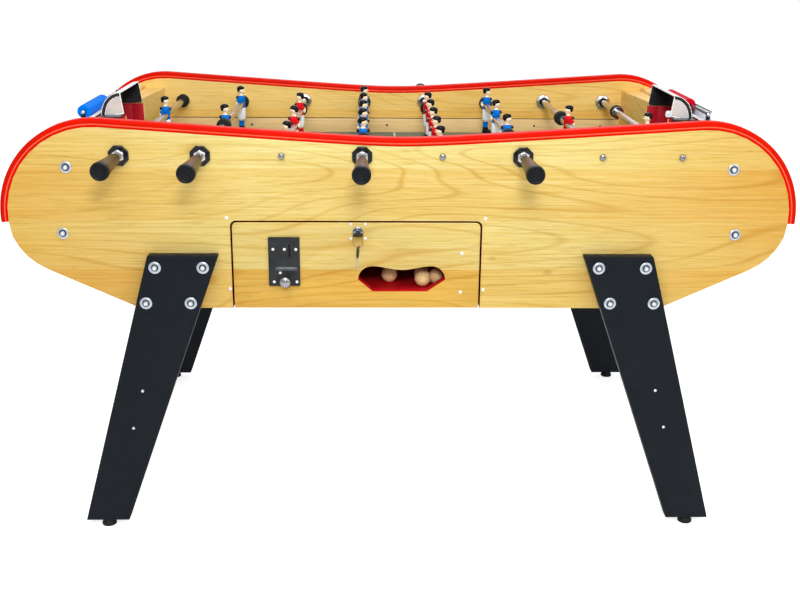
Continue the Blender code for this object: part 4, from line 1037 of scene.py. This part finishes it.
def build_hoods():
    half, core = GOAL_HALF + HOOD_SHEET, HOOD_SHEET * 0.6
    outer, middle, inner = hood_arc(0), hood_arc(core), hood_arc(HOOD_SHEET)
    foot_z, brow_z, heel_z = HOOD_BASE + 0.0052, HOOD_TOP - 0.0014, HOOD_BASE + 0.0013
    fan = [(HOOD_FOOT_X, HOOD_BASE + 0.004), (END_WALL_X, HOOD_BASE)] + middle
    band = hood_arc(0.0012) + hood_arc(0.0082)[::-1]
    sheets = ((fan, 0.0008, core, 0), (fan, core, HOOD_SHEET, 1), (band, 0.0002, 0.0009, 1))
    for team, turn in ENDS:
        net = bmesh.new()
        near_side = -1 if team == "red" else 1
        slab(net, outer + middle[::-1], 0.0004 - half, half - 0.0004)
        slab(net, middle + inner[::-1], 0.0004 - half, half - 0.0004, 1)
        for side in BOTH:
            for section, start, stop, slot in sheets:
                slab(net, section, side * (half - start), side * (half - stop), slot)
            # White rods along the cheek's arc, brow and sill: painted highlights on the cheek's edges
            for inset, depth, radius in ((0.0008, 0.0008, 0.0008), (0.0088, 0.0009, 0.0006)):
                tube(net, [(x, side * (half - depth), z) for x, z in hood_arc(inset)], radius, 2, 8)
            y = side * (half - 0.0012)
            brow = [(HOOD_FOOT_X + 0.0012, y, foot_z), (HOOD_X + 0.0008, y, brow_z)]
            sill = [(HOOD_FOOT_X + 0.0014, y, foot_z), (END_WALL_X, y, heel_z),
                    (HOOD_X + HOOD_DEPTH - 0.002, y, heel_z)]
            for line in (brow, sill):
                tube(net, line, 0.0012, 2, 8)
            reach = 0.034 if side == near_side else 0.006
            block(net, (HOOD_FOOT_X + 0.003, side * (half - 0.0004), HOOD_BASE),
                  (HOOD_X + HOOD_DEPTH, side * (half + reach), HOOD_BASE + 0.0024), 0.0006, 1)
        if team == "red":
            tab = rounded_box(0.604, 0.619, 0.846, 0.86, 0.005, 4)
            slab(net, tab, -half - 0.0018, -half + 0.0006, 3)
            small_screw(net, facing_y(0.6095, -half - 0.0017, 0.8535), 2.6)
        # White rod along the hood's front edge: a painted highlight
        front = [(HOOD_X + 0.0006, side * (half - 0.001), brow_z) for side in BOTH]
        tube(net, front, 0.0013, 2, 10)
        net.transform(turn)
        paints = [POLISHED, HOOD_BLACK, WHITE_PAINT_AND_HIGHLIGHT, GREY_SHEET_AND_SHADE]
        piece(team + "_hood_arch", net, paints, "cabinet", [team + "_goal_hood"])
        piece(team + "_goal_lining", goal_box(turn), [MAROON, OAK["ends"]], "cabinet")


def cover_line(reach):
    """An end cover from the front: round the end, then in to the flat of the bottom."""
    points = end_arc(reach, acos((COVER_START_X - END_CENTRE_X) / COVER_RADIUS), LOWER_ARC_START, 40)
    corner = Vector(end_arc(reach, LOWER_CORNER_ANGLE, LOWER_CORNER_ANGLE, 1)[0])
    flat = Vector((BOTTOM_FLAT_HALF, PANEL_BOTTOM + END_RADIUS - reach))
    stop = corner + (flat - corner).normalized() * LOWER_CORNER_ROUNDING
    return points + bend(Vector(points[-1]), corner, stop, 10)[1:] + [tuple(flat)]


def build_covers():
    section = cover_line(COVER_RADIUS) + cover_line(COVER_RADIUS - COVER_SHEET)[::-1]
    stand = RAIL_X + BEAD_RADIUS + 0.0012
    screw = mm((0, 2.6), (2.2, 2.6), (3.8, 1.4), (4, 0))
    for team, turn in ENDS:
        net = bmesh.new()
        faces = slab(net, section, -INSIDE, INSIDE)
        for face in faces[len(section) // 2:len(section) - 1]:
            face.material_index = 4
        low, high = RAIL_PLACES[team] - RAIL_LENGTH / 2, RAIL_PLACES[team] + RAIL_LENGTH / 2
        if team == "red":
            near, far = low + 0.03, high - 0.06
            foot = cover_height(stand) - 0.001
            # Upright plate under the red rail: its light grey is painted shade of the white cover
            block(net, (stand, near, foot), (stand + 0.0015, far, RAIL_HEIGHT), 0.0004, 3)
            block(net, (stand - 0.0004, near, RAIL_HEIGHT),
                  (stand + 0.0019, far, RAIL_HEIGHT + 0.0022), 0.0008, 1)
        way = 1 if team == "red" else -1
        top = cover_height(COVER_START_X) - 0.0005
        block(net, (CORNER_BOARD_X, way * CORNER_BOARD_Y, HOOD_BASE),
              (COVER_START_X - 0.001, way * (INSIDE - 0.0005), top), 0.0006, 4)
        for end, out in ((low, -1), (high, 1)):
            block(net, (RAIL_X - 0.0045, end - 0.003, cover_height(RAIL_X) - 0.004),
                  (RAIL_X + 0.0045, end + 0.003, RAIL_HEIGHT + 0.0045), 0.0012, 1)
            lathe(net, screw, 24, 2, facing_y(RAIL_X, end + out * 0.003, RAIL_HEIGHT, out))
        rail = [(0, low), (RAIL_RADIUS, low), (RAIL_RADIUS, high), (0, high)]
        lathe(net, rail, 24, 1, at(RAIL_X, 0, RAIL_HEIGHT) @ ALONG_Y)
        net.transform(turn)
        paints = [WHITE_SHEET, BLACK_PLASTIC, CHROME, GREY_SHEET_AND_SHADE, OAK["ends"]]
        piece(team + "_end_sheet", net, paints, "cabinet", [team + "_end_cover"])


def build_beads():
    reach, bore = BEAD_RADIUS, BEAD_BORE
    end = ((bore, 0.0008), (bore + 0.0008, 0), (reach - 0.0018, 0), (reach - 0.0006, 0.0006),
           (reach - 0.0001, 0.0022), (reach, 0.005))
    for team, sign in (("blue", -1), ("red", 1)):
        net = bmesh.new()
        for i in range(BEAD_COUNT):
            low = BEAD_LENGTH * (i - BEAD_COUNT / 2) + 0.00005
            high = low + BEAD_LENGTH - 0.0001
            profile = [(radius, low + height) for radius, height in end]
            profile += [(radius, high - height) for radius, height in reversed(end)]
            lathe(net, profile, 36, 0, ALONG_Y, True)
        body = team + "_score_beads"
        place = at(sign * RAIL_X, BEAD_PLACES[team] + SHIFT, RAIL_HEIGHT)
        piece(team + "_counters", net, [BEADS[team]], body, [body], place)


def build_field():
    kept("playfield", FIELD)
    net = bmesh.new()
    low, high = FIELD_TOP + 0.00005, FIELD_TOP + 0.0004

    def strip(x0, y0, x1, y1):
        block(net, (x0, y0, low), (x1, y1, high), 0.0001)

    def bow(x, radius, start, stop, steps):
        ends = (radius - LINE_HALF, radius + LINE_HALF)
        inner, outer = (arc(x, 0, reach, reach, start, stop, steps) for reach in ends)
        skinned(net, [((*a, low), (*b, low), (*b, high), (*a, high)) for a, b in zip(inner, outer)])

    strip(-LINE_HALF, -FIELD_HALF, LINE_HALF, FIELD_HALF)
    bow(0, CENTRE_RING, 0, 2 * pi, 72)
    for sign in BOTH:
        for reach, half in BOX_LINES:
            x = sign * reach
            strip(x - LINE_HALF, -half, x + LINE_HALF, half)
            for side in BOTH:
                strip(sign * GOAL_FRONT_X, side * half, x, side * (half - 2 * LINE_HALF))
        turn = 0 if sign < 0 else pi
        bow(sign * BOX_LINES[0][0], BOX_BOW, turn - pi / 2, turn + pi / 2, 48)
    lathe(net, [(0, high), (CENTRE_SPOT, high), (CENTRE_SPOT, low), (0, low)], 24)
    piece("field_lines", net, [LINES], "cabinet")


def washer_bolt(net, place, reach):
    """A washer and its round-headed bolt, the washer's radius in millimetres."""
    rim = ((reach - 0.4, 0), (reach, 0.6), (reach, 1.4), (reach - 0.8, 2))
    washer = mm((0, 0), *rim, (7.8, 2.2), (7.4, 1.8))
    # The black ring between washer and head is painted shade; the white top of the head is a painted
    # highlight
    shaded_recess = mm((7.4, 1.8), (7.2, 1.2), (5.8, 1.2), (5.6, 1.8))
    head = mm((5.6, 1.8), (5.5, 4), (4.6, 5.4), (3, 5.9))
    highlight_crown = mm((3, 5.9), (2.6, 6.2), (0, 6.2))
    for profile, slot in ((washer, 0), (shaded_recess, 1), (head, 0), (highlight_crown, 2)):
        lathe(net, profile, 32, slot, place)


def small_screw(net, place, reach):
    """A domed screw head, its radius in millimetres."""
    head = mm((reach, 0), (reach * 0.96, 0.7), (reach * 0.7, 1.4), (reach * 0.3, 1.7), (0, 1.7))
    lathe(net, head, 20, 0, place)


def wall_plug(net, place, reach):
    lathe(net, mm((reach, 0), (2.8, 0.6), (1.6, 1), (0, 1.1)), 20, 0, place)


def heads(name, shape, paints, rows, body="cabinet"):
    """Bolts, screws or plugs from rows of places, the face they stand on, its way out and their radius."""
    net = bmesh.new()
    for places, face, way, reach in rows:
        for x, z in places:
            shape(net, facing_y(x, face, z, way), reach)
    piece(name, net, paints, body)


def mirrored(places):
    return [(sign * x, z) for sign in BOTH for x, z in places]


def build_fasteners():
    for side, way in SIDES:
        panel, leg = way * PANEL_OUT, way * LEG_FACE
        bolts = ((mirrored(PANEL_BOLTS), panel, way, 11.8), (mirrored(LEG_BOLTS), leg, way, 12.5))
        heads(side + "_bolts", washer_bolt, [ZINC, BLACK_GLOSS_AND_SHADE, NICKEL_AND_HIGHLIGHT], bolts)
        heads(side + "_leg_screws", small_screw, [STEEL], [(mirrored(LEG_SCREWS), leg, way, 3.2)])
    heads("panel_screws", small_screw, [NICKEL_AND_HIGHLIGHT], [(PANEL_SCREWS, -PANEL_OUT, -1, 3.6)])
    wide, tall = LOCK_SCREW_REACH
    lock = [(LOCK_X + x, LOCK_Z + z + 0.001) for x in (-wide, wide) for z in (-tall, tall)]
    screws = ((DOOR_SCREWS, DOOR_FACE, -1, 3.6), (lock, DOOR_FACE, -1, 3), (COIN_SCREWS, COIN_FACE, -1, 3))
    heads("door_screws", small_screw, [NICKEL_AND_HIGHLIGHT], screws, "door")
    plugs = [(x, PLUG_HEIGHT) for x in PLUG_PLACES]
    heads("wall_plugs", wall_plug, [BLACK_PLASTIC], [(plugs, way * PANEL_IN, -way, 3) for way in BOTH])


def build_balls():
    kept("ball_trough", CRIMSON)
    left, right, low, _ = BALL_HOLE
    net = bmesh.new()
    block(net, (left - 0.005, 0.005 - PANEL_IN, TROUGH_RIM),
          (right + 0.005, 0.3 - PANEL_IN, TROUGH_RIM + 0.0015), 0.0003)
    piece("trough_lid", net, [BLACK_PAINT], "cabinet")
    for i, (x, y) in enumerate(BALLS):
        net = bmesh.new()
        for vert in bmesh.ops.create_icosphere(net, subdivisions=4, radius=BALL_RADIUS)["verts"]:
            wave = sin(vert.co.x * 310 + i) * sin(vert.co.y * 270) * sin(vert.co.z * 290)
            vert.co *= min(1 - 0.006 * wave, 1)
        place = at(x, y + SHIFT, low - 0.002 + BALL_RADIUS)
        piece(f"ball_{i + 1}", finished(net, 180), [CORK], "cabinet", (), place)


def build_panels():
    kept("front_side_panel", OAK["front"])
    kept("rear_side_panel", OAK["rear"])
    for team, _ in ENDS:
        kept(team + "_end_wall", OAK["ends"])


def build_skirtings():
    """Pale lower board along the inside of each panel, with a dark joint above it."""
    half, top = SKIRTING_HALF, SKIRTING_TOP
    for side, way in SIDES:
        net = bmesh.new()
        back, front = way * PANEL_IN, way * (PANEL_IN - 0.0005)
        block(net, (-half, back, FIELD_TOP + GAP), (half, front, top), 0.0001)
        block(net, (-half, back, top), (half, front, top + 0.0014), 0.0001, 1)
        piece(side + "_skirting", net, [OAK["skirting"], BROWN_WOOD], "cabinet")


def build_stage():
    white = (1, 1, 1)
    floor = bpy.data.meshes.new("floor")
    floor.from_pydata([(-9, -6, 0), (9, -6, 0), (9, 12, 0), (-9, 12, 0)], [], [(0, 1, 2, 3)])
    item = linked("floor", floor)
    item.location.z = -0.0005
    paint = Paint("floor_white", (0.9, 0.9, 0.9), 0.9)
    glow = paint.maths("MULTIPLY", paint.seen_rays(), FLOOR_GLOW)
    paint.fill(paint.shader, {"Specular IOR Level": 0, "Emission Color": white, "Emission Strength": glow})
    floor.materials.append(paint.material)
    world = bpy.data.worlds.new("studio")
    bpy.context.scene.world = world
    sky = Nodes(world)
    level = sky.spread(sky.seen_rays(), 0, 1, SKY_LIGHT, 1)
    sky.fill(sky.tree.nodes["Background"], {"Color": white, "Strength": level})
    for name, place, target, size, power in LAMPS:
        light = bpy.data.lights.new(name, "AREA")
        light.shape = "DISK"
        light.size = size
        light.energy = power
        item = linked(name, light)
        item.location = place
        item.rotation_euler = (Vector(target) - Vector(place)).to_track_quat("-Z", "Y").to_euler()


def build_camera():
    data = bpy.data.cameras.new("camera")
    data.sensor_fit = "HORIZONTAL"
    data.sensor_width = 36
    data.lens = CAMERA_LENS
    item = linked("camera", data)
    item.matrix_world = at(*CAMERA_PLACE)
    for axis, angle in (("Z", -CAMERA_YAW), ("X", pi / 2 - CAMERA_PITCH), ("Z", CAMERA_ROLL)):
        item.matrix_world = item.matrix_world @ Matrix.Rotation(angle, 4, axis)
    bpy.context.scene.camera = item


bpy.context.scene.view_settings.view_transform = "Standard"
build_camera()
build_stage()
build_panels()
build_skirtings()
build_trim()
build_field()
build_covers()
build_hoods()
build_beads()
build_rods()
build_legs()
build_door()
build_balls()
build_fasteners()
